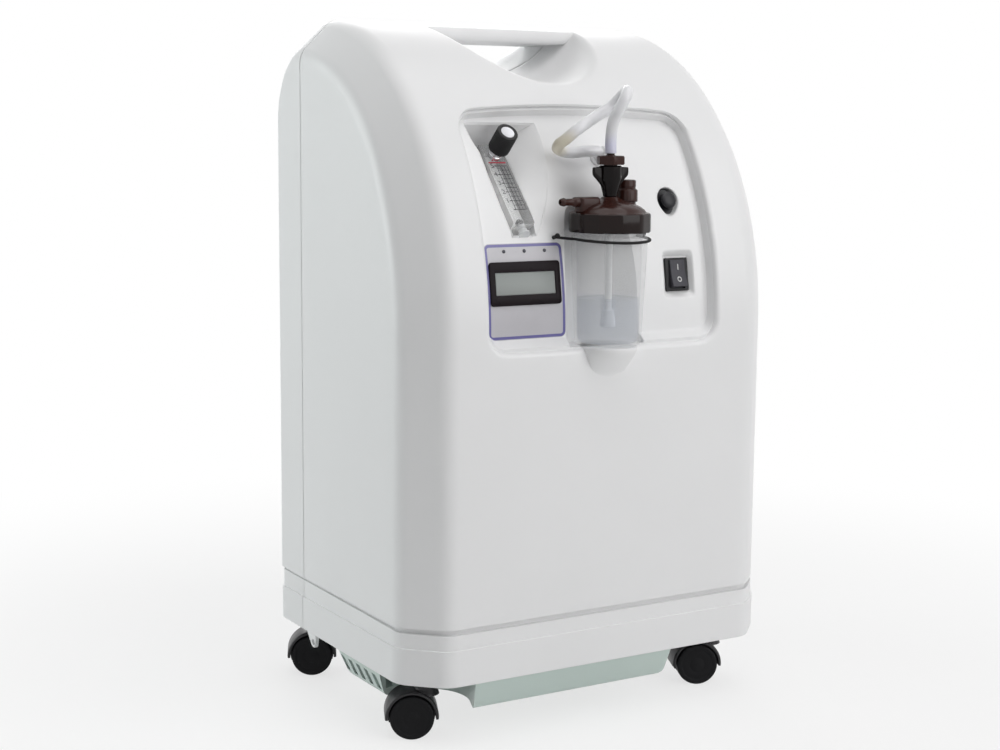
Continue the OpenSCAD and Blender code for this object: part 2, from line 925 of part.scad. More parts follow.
module humidifier_jar() {
    foot_edge = 1.5;
    body_top = rim_z - jar_z - under_lid;
    color([0.88, 0.92, 0.94]) at_bottle() translate([0, 0, jar_z]) rotate_extrude()
        polygon([[0, 0], [jar_foot_r - foot_round, 0], [jar_foot_r - foot_edge, foot_edge],
                 [jar_foot_r, foot_round], [jar_r, body_top - shoulder], [neck_r, body_top],
                 [neck_r, jar_h], [neck_r - jar_wall, jar_h],
                 [neck_r - jar_wall, body_top - shoulder], [jar_foot_r - jar_wall, foot_round + jar_wall],
                 [jar_foot_r - foot_round, jar_wall], [0, jar_wall]]);
}

// Radius of the inside of the jar at a height above its bottom
function jar_in(z) = let (
    z0 = foot_round + jar_wall,
    z1 = rim_z - jar_z - under_lid - shoulder)
    jar_foot_r - jar_wall + (z - z0) / (z1 - z0) * (neck_r - jar_foot_r);

module humidifier_water() {
    side = 0.2;
    low = foot_round + jar_wall;
    color([0.7, 0.78, 0.84]) at_bottle() translate([0, 0, jar_z]) difference() {
        rotate_extrude()
            polygon([[0, jar_wall + side], [jar_foot_r - foot_round - side, jar_wall + side],
                     [jar_in(low) - side, low],
                     [jar_in(water_h) - side, water_h], [0, water_h]]);
        translate([0, 0, dip_bottom - jar_z - side]) cylinder(r = diffuser_r + side, h = water_h);
    }
}

diffuser_r = 6.5;
diffuser_h = 14;
dip_r = 3;
dip_wall = 1;
dip_bottom = jar_z + 16;
module dip_tube() {
    color("white") at_bottle() {
        translate([0, 0, dip_bottom]) cylinder(r = diffuser_r, h = diffuser_h);
        difference() {
            translate([0, 0, dip_bottom]) cylinder(r = dip_r, h = dome_z - dip_bottom);
            translate([0, 0, dip_bottom + diffuser_h]) cylinder(r = dip_r - dip_wall, h = body_h);
        }
    }
}

gasket_t = 1.5;
module lid_gasket() {
    color("lightgray") at_bottle() translate([0, 0, jar_z + jar_h]) difference() {
        cylinder(r = neck_r, h = gasket_t);
        translate([0, 0, -over]) cylinder(r = neck_r - jar_wall, h = gasket_t + 2 * over);
    }
}

// Places on the lid: outlet spigot to the left, relief valve to the right
spigot_z = 9;
spigot_tip = lid_r + 15.5;
spigot_l = 18;
valve_at = [lid_r - 13.5, 7];
valve_seat = 9.5;

module humidifier_lid() {
    block = [20, 13, 13.5];
    pad_r = 8;
    dome = [[0, 0], [lid_r - 3.5, 0], [lid_r - 7, 3.4], [lid_r - 15, 7], [2 * stem_top_r, 9.6],
            [stem_top_r, dome_h], [0, dome_h]];
    cavity_top = jar_z + jar_h + gasket_t;
    color([0.24, 0.14, 0.12]) at_bottle() difference() {
        union() {
            translate([0, 0, rim_z]) cylinder(r = lid_r, h = lid_rim_h);
            translate([0, 0, dome_z]) rotate_extrude() polygon(dome);
            translate([-spigot_tip + spigot_l, -block.y / 2, dome_z]) cube(block);
            translate([0, 0, dome_z + spigot_z]) rod_x(spigot_r, -spigot_tip, -spigot_tip + spigot_l + over);
            translate([valve_at.x, valve_at.y, dome_z]) cylinder(r = pad_r, h = valve_seat);
        }
        translate([0, 0, rim_z - over]) cylinder(r = neck_r + seat_clear, h = cavity_top - rim_z + over);
        translate([0, 0, rim_z - over]) cylinder(r = neck_r - jar_wall, h = lid_rim_h + over);
        translate([0, 0, dome_z + spigot_z]) rod_x(spigot_r / 2, -spigot_tip - over, -spigot_tip + spigot_l);
        translate([0, 0, coupling_z - swivel_l]) cylinder(r = swivel_r + run_clear, h = swivel_l + over);
    }
}

swivel_r = 3;
swivel_l = 3;
nipple_r = 6;
nipple_l = 9;
module wing_coupling() {
    wing_w = 30;
    wing_t = 3;
    wing_foot = 3;
    wing_low = 19;
    wing_top = 25;
    top_r = 10;
    low_r = 6;
    cone_h = 14;
    color([0.1, 0.08, 0.08]) at_bottle() translate([0, 0, coupling_z + seat_clear]) difference() {
        union() {
            translate([0, 0, -swivel_l + gap]) cylinder(r = swivel_r, h = swivel_l + over);
            cylinder(r1 = low_r, r2 = top_r, h = cone_h);
            translate([0, 0, cone_h]) cylinder(r = top_r, h = coupling_h - cone_h - 2 * seat_clear);
            rotate([90, 0, 0]) linear_extrude(wing_t, center = true)
                polygon([[-low_r, wing_foot], [low_r, wing_foot], [wing_w / 2, wing_low],
                         [wing_w / 2, wing_top],
                         [-wing_w / 2, wing_top], [-wing_w / 2, wing_low]]);
        }
        translate([0, 0, coupling_h - nipple_l - swivel_l])
            cylinder(r = nipple_r + run_clear, h = 2 * nipple_l);
    }
}

barb_l = 14;
module inlet_adapter() {
    hex_r = 12.5;
    color([0.28, 0.17, 0.15]) at_bottle() translate([0, 0, adapter_z]) difference() {
        union() {
            cylinder(r = hex_r, h = hex_h, $fn = 6);
            translate([0, 0, -nipple_l]) cylinder(r = nipple_r, h = nipple_l + over);
            cylinder(r = barb_r, h = hex_h + barb_l);
        }
        translate([0, 0, -nipple_l - over])
            cylinder(r = barb_r / 2, h = nipple_l + hex_h + barb_l + 2 * over);
    }
}

module relief_valve() {
    skirt_r = 8.5;
    skirt_h = 11;
    groove_r = 7.5;
    groove_t = 2;
    cap_r = 7;
    cap_h = 6;
    color([0.26, 0.16, 0.14]) at_bottle() translate([valve_at.x, valve_at.y, dome_z + valve_seat]) {
        cylinder(r = skirt_r, h = skirt_h);
        translate([0, 0, skirt_h]) cylinder(r = groove_r, h = groove_t);
        translate([0, 0, skirt_h + groove_t]) cylinder(r = cap_r, h = cap_h);
    }
}

// Elastic strap round the front of the jar, hooked on two pegs in the panel
strap_z = rim_z - under_lid - shoulder;
peg_x = pocket_r + 6;
peg_r = 2.2;
module peg_places() {
    for (s = [-1, 1]) {
        on_panel(s * peg_x, strap_z) children();
    }
}

peg_out = 6;
module strap_pegs() {
    peg_rim = 1;
    peg_head = 2;
    color([0.1, 0.1, 0.1]) peg_places() {
        rod_y(peg_r, -peg_out, hole_in);
        rod_y(peg_r + peg_rim, -peg_out - peg_head, -peg_out);
    }
}

// Strap route round the bottle axis: a half turn in front of the jar, and a leg to each peg
strap_turn = 16;
strap_leg = [peg_x - peg_r - strap_d / 2 - seat_clear, panel_y(strap_z) - peg_out / 2 - bottle_y, 0];
strap_route = concat(
    [[-strap_leg.x, strap_leg.y, 0]],
    [for (k = [0 : strap_turn]) strap_r * [-cos(180 * k / strap_turn), -sin(180 * k / strap_turn), 0]],
    [strap_leg]);

module jar_strap() {
    strap_sides = 8;
    color([0.08, 0.08, 0.08]) at_bottle() translate([0, 0, strap_z])
        cord(strap_route, strap_d / 2, strap_sides);
}

// Oxygen hose: swept along points chosen by hand, from the humidifier's barb to the outlet elbow
hose_sides = 10;
hose_bore = (barb_r + run_clear) / cos(180 / hose_sides);
hose_start = adapter_z + hex_h + 2;
hose_route = [
    [0, 0, 0], [0, 0, 14], [0, -4, 28], [3, -9, 39], [9, -9, 49], [16, 1, 53], [20, 13, 49], [15, 20, 41],
    [3, 20, 34], [-12, 16, 27], [-25, 14, 20], [-33, 19, 12], [-35, 29, 6], [-28, 37, 2], [-16, 37, 0],
    [-4, 34, 1], [10, 33, 1]];

function unit(v) = v / norm(v);
function tangent(p, i) = unit(p[min(i + 1, len(p) - 1)] - p[max(i - 1, 0)]);
// Side vectors carried from ring to ring without twist
function sides(p, i = 0, prev = [1, 0, 0], out = []) =
    i == len(p) ? out :
    let (t = tangent(p, i), s = unit(prev - (prev * t) * t))
        sides(p, i + 1, s, concat(out, [s]));

function ring_points(p, s, i, r, n) = [
    for (k = [0 : n - 1])
        let (a = 360 * k / n)
            p[i] + r * (cos(a) * s[i] + sin(a) * cross(tangent(p, i), s[i]))];

function skin(rings, n) = [
    for (i = [0 : rings - 2], k = [0 : n - 1])
        let (a = i * n + k, b = i * n + (k + 1) % n)
            each [[a, a + n, b], [b, a + n, b + n]]];

// Solid cord of radius r along the points p
module cord(p, r, n) {
    s = sides(p);
    rings = len(p);
    last = (rings - 1) * n;
    points = [for (i = [0 : rings - 1]) each ring_points(p, s, i, r, n)];
    ends = [for (k = [1 : n - 2]) each [[0, k, k + 1], [last, last + k + 1, last + k]]];
    polyhedron(points, concat(skin(rings, n), ends), convexity = 10);
}

// Tube of radius r with a bore along the points p
module tube(p, r, bore, n) {
    s = sides(p);
    rings = len(p);
    outer = [for (i = [0 : rings - 1]) each ring_points(p, s, i, r, n)];
    inner = [for (i = [0 : rings - 1]) each ring_points(p, s, i, bore, n)];
    m = rings * n;
    last = (rings - 1) * n;
    lining = [for (f = skin(rings, n)) [f[0] + m, f[2] + m, f[1] + m]];
    ends = [for (k = [0 : n - 1])
        let (j = (k + 1) % n)
            each [[k, j, k + m], [j, j + m, k + m],
                  [last + k, last + k + m, last + j], [last + j, last + k + m, last + j + m]]];
    polyhedron(concat(outer, inner), concat(skin(rings, n), lining, ends), convexity = 10);
}

module oxygen_hose() {
    color([0.93, 0.92, 0.9]) at_bottle() translate([0, 0, hose_start])
        tube(hose_route, hose_d / 2, hose_bore, hose_sides);
}

// Compressor on the chassis plate, lying along X
mount_h = 26;
mount_r = 13;
case_w = 46;
case_d = 104;
case_h = 108;
comp_y = front_y + 76;
comp_z = plate_z + mount_h + case_h / 2;
shaft_r = 6;
case_x = motor_l / 2 + case_w / 2;

module compressor_motor() {
    color("slategray") translate([0, comp_y, comp_z]) difference() {
        rod_x(motor_r, -motor_l / 2, motor_l / 2);
        rod_x(shaft_r + run_clear, -motor_l, motor_l);
    }
}

module crankcases() {
    bore = 40;
    shell = 8;
    color("lightslategray") for (s = [-1, 1]) {
        translate([s * case_x, comp_y, comp_z]) difference() {
            cube([case_w, case_d, case_h], center = true);
            rotate([0, 0, s < 0 ? 180 : 0]) rod_x(bore, -case_w / 2 + shell, case_w);
            rod_x(shaft_r + run_clear, -case_w, case_w);
        }
    }
}

module compressor_heads() {
    head_h = 34;
    head_in = 8;
    head_d = case_d - 2 * head_in;
    fins = 5;
    fin_t = 4;
    fin_h = 14;
    color("silver") for (s = [-1, 1]) {
        translate([s * case_x, comp_y, comp_z + case_h / 2]) {
            translate([-case_w / 2, -head_d / 2, 0]) cube([case_w, head_d, head_h - fin_h]);
            for (k = [0 : fins - 1]) {
                translate([-case_w / 2, -head_d / 2 + k * (head_d - fin_t) / (fins - 1), head_h - fin_h])
                    cube([case_w, fin_t, fin_h]);
            }
        }
    }
}

module drive_shaft() {
    fan_r = 36;
    fan_t = 12;
    blades = 8;
    blade_t = 2;
    blade_w = 10;
    hub_r = 14;
    hub_in = 2;
    end_in = 3;
    half_l = case_x + case_w / 2 - end_in;
    color("dimgray") translate([0, comp_y, comp_z]) {
        rod_x(shaft_r, -half_l, half_l);
        for (s = [-1, 1]) {
            translate([s * (half_l - hub_in - fan_t / 2), 0, 0]) {
                rod_x(hub_r, -fan_t / 2, fan_t / 2);
                for (k = [0 : blades - 1]) {
                    rotate([360 * k / blades, 0, 0])
                        translate([-blade_w / 2, -blade_t / 2, hub_r - over])
                            cube([blade_w, blade_t, fan_r - hub_r + over]);
                }
            }
        }
    }
}

module spring_mounts() {
    mount_in = 2;
    color("black") for (sx = [-1, 1], sy = [-1, 1]) {
        translate([sx * case_x, comp_y + sy * (case_d / 2 - mount_r - mount_in), plate_z])
            cylinder(r = mount_r, h = mount_h);
    }
}

// Deck over the compressor, with the fan, the heat exchanger and the transformer
deck_t = 3;
deck_over = 44;
deck_z = comp_z + case_h / 2 + deck_over;
deck_w = 296;
deck_d = 132;
leg = 12;
fan_x = -84;
fan_h = 38;
fan_rim = 3;
spider_h = 5;
deck_y = comp_y;

module equipment_deck() {
    color("silver") difference() {
        union() {
            translate([-deck_w / 2, deck_y - deck_d / 2, deck_z]) cube([deck_w, deck_d, deck_t]);
            for (sx = [-1, 1], sy = [-1, 1]) {
                translate([sx * (deck_w - leg) / 2 - leg / 2,
                           deck_y + sy * (deck_d - leg) / 2 - leg / 2, plate_z])
                    cube([leg, leg, deck_z - plate_z + over]);
            }
        }
        translate([fan_x, deck_y, deck_z - over]) cylinder(r = fan_side / 2 - fan_rim, h = deck_t + 2 * over);
    }
}

fan_pin_r = 3;
module fan_frame() {
    arm = 6;
    hub_r = 18;
    pin_in = 6;
    bore = fan_side / 2 - fan_rim;
    color([0.18, 0.18, 0.18]) translate([fan_x, deck_y, deck_z + deck_t]) {
        difference() {
            translate([-fan_side / 2, -fan_side / 2, 0]) cube([fan_side, fan_side, fan_h]);
            translate([0, 0, -over]) cylinder(r = bore, h = fan_h + 2 * over);
        }
        for (a = [0, 90]) {
            rotate([0, 0, a]) translate([-bore - over, -arm / 2, 0]) cube([2 * (bore + over), arm, spider_h]);
        }
        cylinder(r = hub_r, h = spider_h);
        cylinder(r = fan_pin_r, h = fan_h - pin_in);
    }
}

module fan_rotor() {
    low = spider_h + seat_clear;
    high = 34;
    hub_r = 20;
    hub_t = 1;
    tip_clear = 2;
    blade = 2;
    tip = fan_side / 2 - fan_rim - tip_clear;
    blades = 7;
    pitch = 35;
    color([0.1, 0.1, 0.1]) translate([fan_x, deck_y, deck_z + deck_t]) difference() {
        union() {
            translate([0, 0, low]) cylinder(r = hub_r, h = high - low);
            intersection() {
                translate([0, 0, low]) cylinder(r = tip, h = high - low);
                for (k = [0 : blades - 1]) {
                    rotate([0, 0, 360 * k / blades]) translate([hub_r - blade, 0, (low + high) / 2])
                        rotate([pitch, 0, 0]) translate([0, -blade / 2, -fan_h / 2])
                            cube([tip, blade, fan_h]);
                }
            }
        }
        translate([0, 0, low - over]) cylinder(r = fan_pin_r + run_clear, h = high - low - hub_t);
    }
}

module heat_exchanger() {
    tube_w = 8;
    side = fan_side - tube_w;
    core_h = 16;
    tubes = 6;
    color("peru") translate([fan_x, deck_y, deck_z + deck_t + fan_h]) {
        for (k = [0 : tubes - 1]) {
            translate([-side / 2, -side / 2 + (k + 0.5) * side / tubes - tube_w / 2, 0])
                cube([side, tube_w, core_h]);
        }
        for (s = [-1, 1]) {
            translate([(s * side - tube_w) / 2, -side / 2, 0]) cube([tube_w, side, core_h]);
        }
    }
}

module transformer() {
    core = [64, 54, 44];
    stack = 40;
    coil_in = 6;
    transformer_x = 90;
    color("darkslategray") translate([transformer_x, deck_y, deck_z + deck_t]) {
        translate([-core.x / 2, -stack / 2, 0]) cube([core.x, stack, core.z]);
        translate([-core.x / 4, -core.y / 2, coil_in]) cube([core.x / 2, core.y, core.z - 2 * coil_in]);
    }
}

// Sieve beds, tank and valves along the rear
bed_rim = 3;
bed_cap_h = 12;
bed_rear = 32;
bed_x = stem_x - nut_r - bed_r + 1;
bed_y = rear_y - wall - bed_r - bed_rear;
bed_top = plate_z + bed_h;

module sieve_beds() {
    color("lightsteelblue") for (s = [-1, 1]) {
        translate([s * bed_x, bed_y, plate_z]) {
            cylinder(r = bed_r + bed_rim, h = bed_cap_h);
            cylinder(r = bed_r, h = bed_h);
            translate([0, 0, bed_h - bed_cap_h]) cylinder(r = bed_r + bed_rim, h = bed_cap_h);
        }
    }
}

tank_r = 36;
tank_h = 190;
module product_tank() {
    color("lightsteelblue") translate([0, bed_y, plate_z]) {
        cylinder(r = tank_r, h = tank_h);
        translate([0, 0, tank_h - bed_cap_h]) cylinder(r = tank_r + bed_rim, h = bed_cap_h);
    }
}

module pressure_regulator() {
    body_r = 16;
    body_l = 26;
    screw_r = 10;
    screw_l = 20;
    color("goldenrod") translate([0, bed_y, plate_z + tank_h]) {
        cylinder(r = body_r, h = body_l);
        translate([0, 0, body_l]) cylinder(r = screw_r, h = screw_l);
    }
}

module valve_manifold() {
    manifold_h = 26;
    manifold_d = 40;
    coil_r = 14;
    coil_h = 34;
    coil_pitch = 60;
    color("dimgray") translate([0, bed_y, bed_top]) {
        translate([-bed_x - manifold_d / 2, -manifold_d / 2, 0])
            cube([2 * bed_x + manifold_d, manifold_d, manifold_h]);
        for (k = [-1 : 1]) {
            translate([k * coil_pitch, 0, manifold_h]) cylinder(r = coil_r, h = coil_h);
        }
    }
}

// Intake behind the rear cover, and the power inlet
module intake_box() {
    depth = 34;
    box_wall = 3;
    color("gray") translate([0, rear_y - wall, cover_z]) difference() {
        plate(cover_w, cover_h, -depth, 0);
        plate(cover_hole_w, cover_hole_h, -depth + box_wall, over);
    }
}

module filter_cover() {
    slots = 6;
    slot_h = 5;
    slot_pitch = 13;
    slot_in = 10;
    lip = 8;
    lip_t = 3;
    fit = 0.6;
    lip_w = cover_hole_w - 2 * fit;
    lip_h = cover_hole_h - 2 * fit;
    color("white") translate([0, rear_y, cover_z]) difference() {
        union() {
            plate(cover_w, cover_h, 0, cover_out);
            plate(lip_w, lip_h, -lip, over);
        }
        plate(lip_w - 2 * lip_t, lip_h - 2 * lip_t, -lip - over, -over);
        for (k = [0 : slots - 1]) {
            translate([0, 0, (k - (slots - 1) / 2) * slot_pitch])
                plate(cover_hole_w - 2 * slot_in, slot_h, -lip, cover_out + over);
        }
    }
}

module power_inlet() {
    flange = 2;
    body_l = 28;
    socket_l = 17;
    flange_w = 6;
    flange_h = 3;
    rim = [3, 4];
    pin = [2, 4];
    pin_pitch = 7;
    pin_up = 2;
    pin_down = -1;
    color([0.1, 0.1, 0.1]) translate([inlet_x, rear_y, inlet_z]) {
        difference() {
            union() {
                plate(inlet_w + 2 * flange_w, inlet_h + 2 * flange_h, 0, flange);
                plate(inlet_w, inlet_h, -body_l, over);
            }
            plate(inlet_w - 2 * rim.x, inlet_h - 2 * rim.y, -socket_l, flange + over);
        }
        for (k = [-1 : 1]) {
            translate([k * pin_pitch, 0, k == 0 ? pin_up : pin_down])
                plate(pin.x, pin.y, -socket_l - over, -over);
        }
    }
}

front_shell();
rear_shell();
base_front();
base_rear();
chassis_plate();
under_tray();
caster_stems();
caster_hood_fl();
caster_hood_fr();
caster_hood_rl();
caster_hood_rr();
wheel_set_fl();
wheel_set_fr();
wheel_set_rl();
wheel_set_rr();
control_label();
lcd_frame();
lcd_display();
indicator_lamps();
control_board();
flowmeter_block();
flowmeter_plug();
flowmeter_fittings();
float_ball();
valve_bonnet();
flow_knob();
knob_cap();
switch_housing();
rocker();
breaker_body();
reset_button();
outlet_elbow();
oxygen_hose();
humidifier_jar();
humidifier_water();
humidifier_lid();
lid_gasket();
dip_tube();
wing_coupling();
inlet_adapter();
relief_valve();
jar_strap();
strap_pegs();
compressor_motor();
crankcases();
compressor_heads();
drive_shaft();
spring_mounts();
equipment_deck();
fan_frame();
fan_rotor();
heat_exchanger();
sieve_beds();
product_tank();
valve_manifold();
pressure_regulator();
transformer();
intake_box();
filter_cover();
power_inlet();
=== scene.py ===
import json
import math

import bmesh
import bpy
from mathutils import Matrix, Vector
from mathutils.geometry import delaunay_2d_cdt

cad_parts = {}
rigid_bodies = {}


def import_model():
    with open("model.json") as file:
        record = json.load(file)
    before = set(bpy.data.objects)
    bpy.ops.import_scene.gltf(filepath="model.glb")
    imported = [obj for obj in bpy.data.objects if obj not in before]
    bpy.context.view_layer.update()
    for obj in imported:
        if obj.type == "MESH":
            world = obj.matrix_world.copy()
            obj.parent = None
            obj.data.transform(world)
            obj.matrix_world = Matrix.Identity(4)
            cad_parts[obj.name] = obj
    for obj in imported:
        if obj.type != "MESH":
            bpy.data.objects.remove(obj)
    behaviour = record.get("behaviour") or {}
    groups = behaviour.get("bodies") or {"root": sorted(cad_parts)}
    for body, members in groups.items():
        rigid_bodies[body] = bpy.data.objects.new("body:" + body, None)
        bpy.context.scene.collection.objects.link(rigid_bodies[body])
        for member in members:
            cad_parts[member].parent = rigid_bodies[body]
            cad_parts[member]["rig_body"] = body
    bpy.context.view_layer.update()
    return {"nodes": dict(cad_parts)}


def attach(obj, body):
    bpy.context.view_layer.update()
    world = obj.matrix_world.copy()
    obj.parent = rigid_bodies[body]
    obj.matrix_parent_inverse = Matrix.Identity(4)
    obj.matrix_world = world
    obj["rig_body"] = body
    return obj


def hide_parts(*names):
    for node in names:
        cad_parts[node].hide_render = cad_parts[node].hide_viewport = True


bl_info = {
    "name": "Oxygen Concentrator Looks",
    "version": (1, 0, 0),
    "blender": (4, 5, 0),
    "location": "3D View > Sidebar > Concentrator",
    "description": "Builds the visible pieces of a home oxygen concentrator round its packed frame",
    "category": "Object",
}

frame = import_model()

# Sizes of the pieces, in millimetres, in the frame of the construction
MM = 0.001
FRONT_Y = -126.4
REAR_Y = 155.6
SEAM_Y = 94.6
SEAM_GAP = 1.0
HALF_W = 191.0
BASE_TOP = 106.0
TOP_Z = 622.0
REAR_DROP = 55.0
BAND = 32.0
REAR_BAND = 9.0
KNEE_Z = 352.0
LEAN_R = 312.0
LEAN_A = math.radians(30)
TOP_R = 228.0
LEAN_C = (FRONT_Y + LEAN_R, KNEE_Z)
TOP_C = (LEAN_C[0] - (LEAN_R - TOP_R) * math.cos(LEAN_A), TOP_Z - TOP_R)
STRIP_X = 136.0
STRIP_Z = 552.0
FOOT_LEVELS = [BASE_TOP, 150, 200, 250, 300, 325, 340, KNEE_Z]
LEAN_STEPS = 26
STRIP_STEPS = 12
TOP_STEPS = 44
REAR_TOP_STEPS = 20
REAR_STEPS = 14
PANEL_DEPTH = 12.0
PANEL = (-120.0, 116.0, 338.0, 544.0)
PANEL_FLOOR = (-118.5, 114.5, 347.0, 537.0)
PANEL_CORNER = 18.0
PANEL_FLOOR_CORNER = 14.0
PANEL_ARCH = 6.0
ARCH_HALF = 118.0
ARCH_FOOT = 440.0
ARCH_RISE = 104.0
RIM_EASE = 1.6
FILL_STEP = 17
BOTTLE_Y = -122.4
POCKET_R = 39.0
ROOF_Z = 456.0
ROOF_SQUASH = 0.3
LEDGE_Z = 339.0
TROUGH_R = 94.0
TROUGH_SLOPE = math.radians(4.6)
TROUGH_DEPTH = 47.0
TROUGH_AXIS = TOP_Z - TROUGH_DEPTH + TROUGH_R
TROUGH_CRISP = 0.6
BAR_HALF = 35.0
BAR_UNDER = 604.0
BAR_SHOULDER = 609.0
CORBEL_R = 26.2
METER = Vector((-75.0, -46.4, 508.0))
METER_TILT = math.radians(42.6)
METER_SIDES = (-11.5, 12.5)
METER_ENDS = (-89.0, 9.0)
METER_SEAT = 16.4
METER_BORE_Y = 6.0
KNOB_Z = -10.0
FLOAT_R = 3.5
FLOAT_Z = -80.3
SCALE_Z = -70.0
SCALE_STEP = 4.9
SCALE_LINES = 11
HOSE_START = 504.4
HOSE = [(0, 0, 0), (0, 0, 14), (0, -4, 28), (3, -9, 39), (9, -9, 49), (16, 1, 53), (20, 13, 49), (15, 20, 41),
        (3, 20, 34), (-12, 16, 27), (-25, 14, 20), (-33, 19, 12), (-35, 29, 6), (-28, 37, 2), (-16, 37, 0),
        (-4, 34, 1), (10, 33, 1)]
JAR_Z = 339.4
JAR_R = 33.5
LID_RIM_Z = 452.8
SPIGOT_X = -33.0
RELIEF = (22.0, 7.0, 462.6)
COUPLING_Z = 467.6
ADAPTER_Z = 494.4
ADAPTER_TURN = 8
ADAPTER_R = 12.5
STRAP_Z = 432.4
STRAP_R = 1.25
STRAP_SAG = 2.6
LCD = (-78.0, 395.0)
LAMPS = (-76.3, 422.0)
LAMP_STEP = 20.2
LABEL = (-115.8, -38.6, 348.0, 428.5)
LABEL_CORNER = 5.0
SWITCH = (84.0, 397.0)
ROCKER_HALF = 12.0
ROCKER_AXIS = 7.0
ROCKER_TURN = math.radians(-8)
BREAKER = (83.0, 462.0)
AIR_Y = -47.4
AIR_HALF = (60.0, 42.0)
BASE_Z = 56.0
GROOVE_RUN = 26.0
TRAY_LOW = 28.0
TRAY = (-189.0, 78.0, -124.4, 31.6)
TRAY_TAPER = 13.0
CASTERS = {"fl": (-154.0, -75.5), "fr": (154.0, -75.5), "rl": (-154.0, 129.5), "rr": (154.0, 129.5)}
CASTER_TRAIL = -12.0
CASTER_TURN = math.radians(-25)
WHEEL_Z = 19.5
COVER_Z = 452.0
INLET = (90.0, 156.0)
OUTLET = (18.0, 498.3)
OUTLET_REACH = 14.8
UPRIGHT = Matrix.Rotation(math.pi / 2, 4, "X")

# The camera: its place in metres, its turns to the right, down and about its own axis, and its lens
VIEW_AT = (-0.85082, -1.35787, 0.52727)
VIEW_TURN = [math.radians(a) for a in (30.993, 8.182, 0.481)]
VIEW_LENS = 62.506


def colour(name, description, value):
    return bpy.props.FloatVectorProperty(
        name=name, description=description, subtype="COLOR", size=3, min=0, max=1, default=value)


def length(name, description, value):
    return bpy.props.FloatProperty(name=name, description=description, unit="LENGTH", default=value)


class ConcentratorColours(bpy.types.PropertyGroup):
    """Colours of the visible finishes"""
    shell: colour("Shell", "Moulded white of the cabinet", (0.88, 0.88, 0.885))
    tray: colour("Under-tray", "Pale green of the vented tray", (0.58, 0.68, 0.64))
    brown: colour("Bottle fittings", "Dark brown of the bottle's lid and fittings", (0.036, 0.013, 0.010))
    black: colour("Black plastic", "Black of the knob and the mains inlet", (0.012, 0.012, 0.013))
    label: colour("Label", "Grey ground of the control label", (0.50, 0.49, 0.52))
    label_border: colour("Label border", "Violet line round the control label", (0.11, 0.10, 0.31))
    water: colour("Water", "Tint of the water in the bottle", (0.46, 0.55, 0.70))
    hose: colour("Hose", "Milky silicone of the hose", (0.84, 0.84, 0.86))


class ConcentratorSizes(bpy.types.PropertyGroup):
    """Sizes of the soft edges, the walls and the hose"""
    rim_round: length("Rim rounding", "Rounding of the rim of the sunk panel", 0.005)
    band_round: length("Band rounding", "How far the rounding runs from each edge of the slanted bands", 0.010)
    trough_round: length("Trough rounding", "Rounding between the top and the hand trough", 0.0035)
    wall: length("Wall", "Thickness of the moulded walls", 0.0022)
    hose_d: length("Hose diameter", "Outer diameter of the oxygen hose", 0.010)


def sizes():
    return bpy.context.scene.concentrator_sizes


def colours():
    return bpy.context.scene.concentrator_colours


# Materials


class Value:
    """A node's output, with arithmetic that adds Math nodes"""

    def __init__(self, finish, socket):
        self.finish = finish
        self.socket = socket

    def _math(self, operation, *values):
        return self.finish.node("ShaderNodeMath", {"operation": operation}, *values)

    def __add__(self, other):
        return self._math("ADD", self, other)

    def __sub__(self, other):
        return self._math("SUBTRACT", self, other)

    def __rsub__(self, other):
        return self._math("SUBTRACT", other, self)

    def __mul__(self, other):
        return self._math("MULTIPLY", self, other)

    def absolute(self):
        return self._math("ABSOLUTE", self)

    def largest(self, other):
        return self._math("MAXIMUM", self, other)

    def root(self):
        return self._math("SQRT", self)

    def step(self, low, high):
        """0 below low, 1 above high, smooth between"""
        return self.finish.node(
            "ShaderNodeMapRange", {"interpolation_type": "SMOOTHSTEP", "clamp": True}, self, low, high, 0.0, 1.0)


class Finish:
    """A procedural material round one Principled shader"""

    def __init__(self, name, base, roughness, **constants):
        self.material = bpy.data.materials.new(name)
        self.material.use_nodes = True
        self.tree = self.material.node_tree
        self.shader = self.tree.nodes["Principled BSDF"]
        self.set("Base Color", base)
        self.set("Roughness", roughness)
        for socket, value in constants.items():
            self.set(socket.replace("_", " ").title().replace("Ior", "IOR"), value)

    def feed(self, target, value):
        """Links a value to an input, or sets it"""
        if isinstance(value, Value):
            self.tree.links.new(value.socket, target)
        elif target.type == "RGBA":
            target.default_value = (*value[:3], 1.0)
        else:
            target.default_value = value

    def set(self, socket, value):
        self.feed(self.shader.inputs[socket], value)

    def node(self, kind, settings, *values, out=0, **named):
        made = self.tree.nodes.new(kind)
        for key, value in settings.items():
            setattr(made, key, value)
        for key, value in [*enumerate(values), *((k.replace("_", " "), v) for k, v in named.items())]:
            self.feed(made.inputs[key], value)
        return Value(self, made.outputs[out])

    def place(self):
        return self.node("ShaderNodeTexCoord", {}, out=3)

    def axes(self):
        place = self.place()
        split = self.tree.nodes.new("ShaderNodeSeparateXYZ")
        self.tree.links.new(place.socket, split.inputs[0])
        return [Value(self, s) for s in split.outputs]

    def noise(self, scale, detail=2.0, roughness=0.5, place=None):
        return self.node("ShaderNodeTexNoise", {}, Vector=place or self.place(), Scale=scale, Detail=detail,
                         Roughness=roughness)

    def mix(self, factor, first, second):
        made = self.tree.nodes.new("ShaderNodeMix")
        made.data_type = "RGBA"
        for index, value in ((0, factor), (6, first), (7, second)):
            self.feed(made.inputs[index], value)
        return Value(self, made.outputs[2])

    def bump(self, height, strength, distance):
        self.set("Normal", self.node("ShaderNodeBump", {}, Height=height, Strength=strength, Distance=distance))


def shade(base, factor):
    return tuple(min(1.0, c * factor) for c in base)


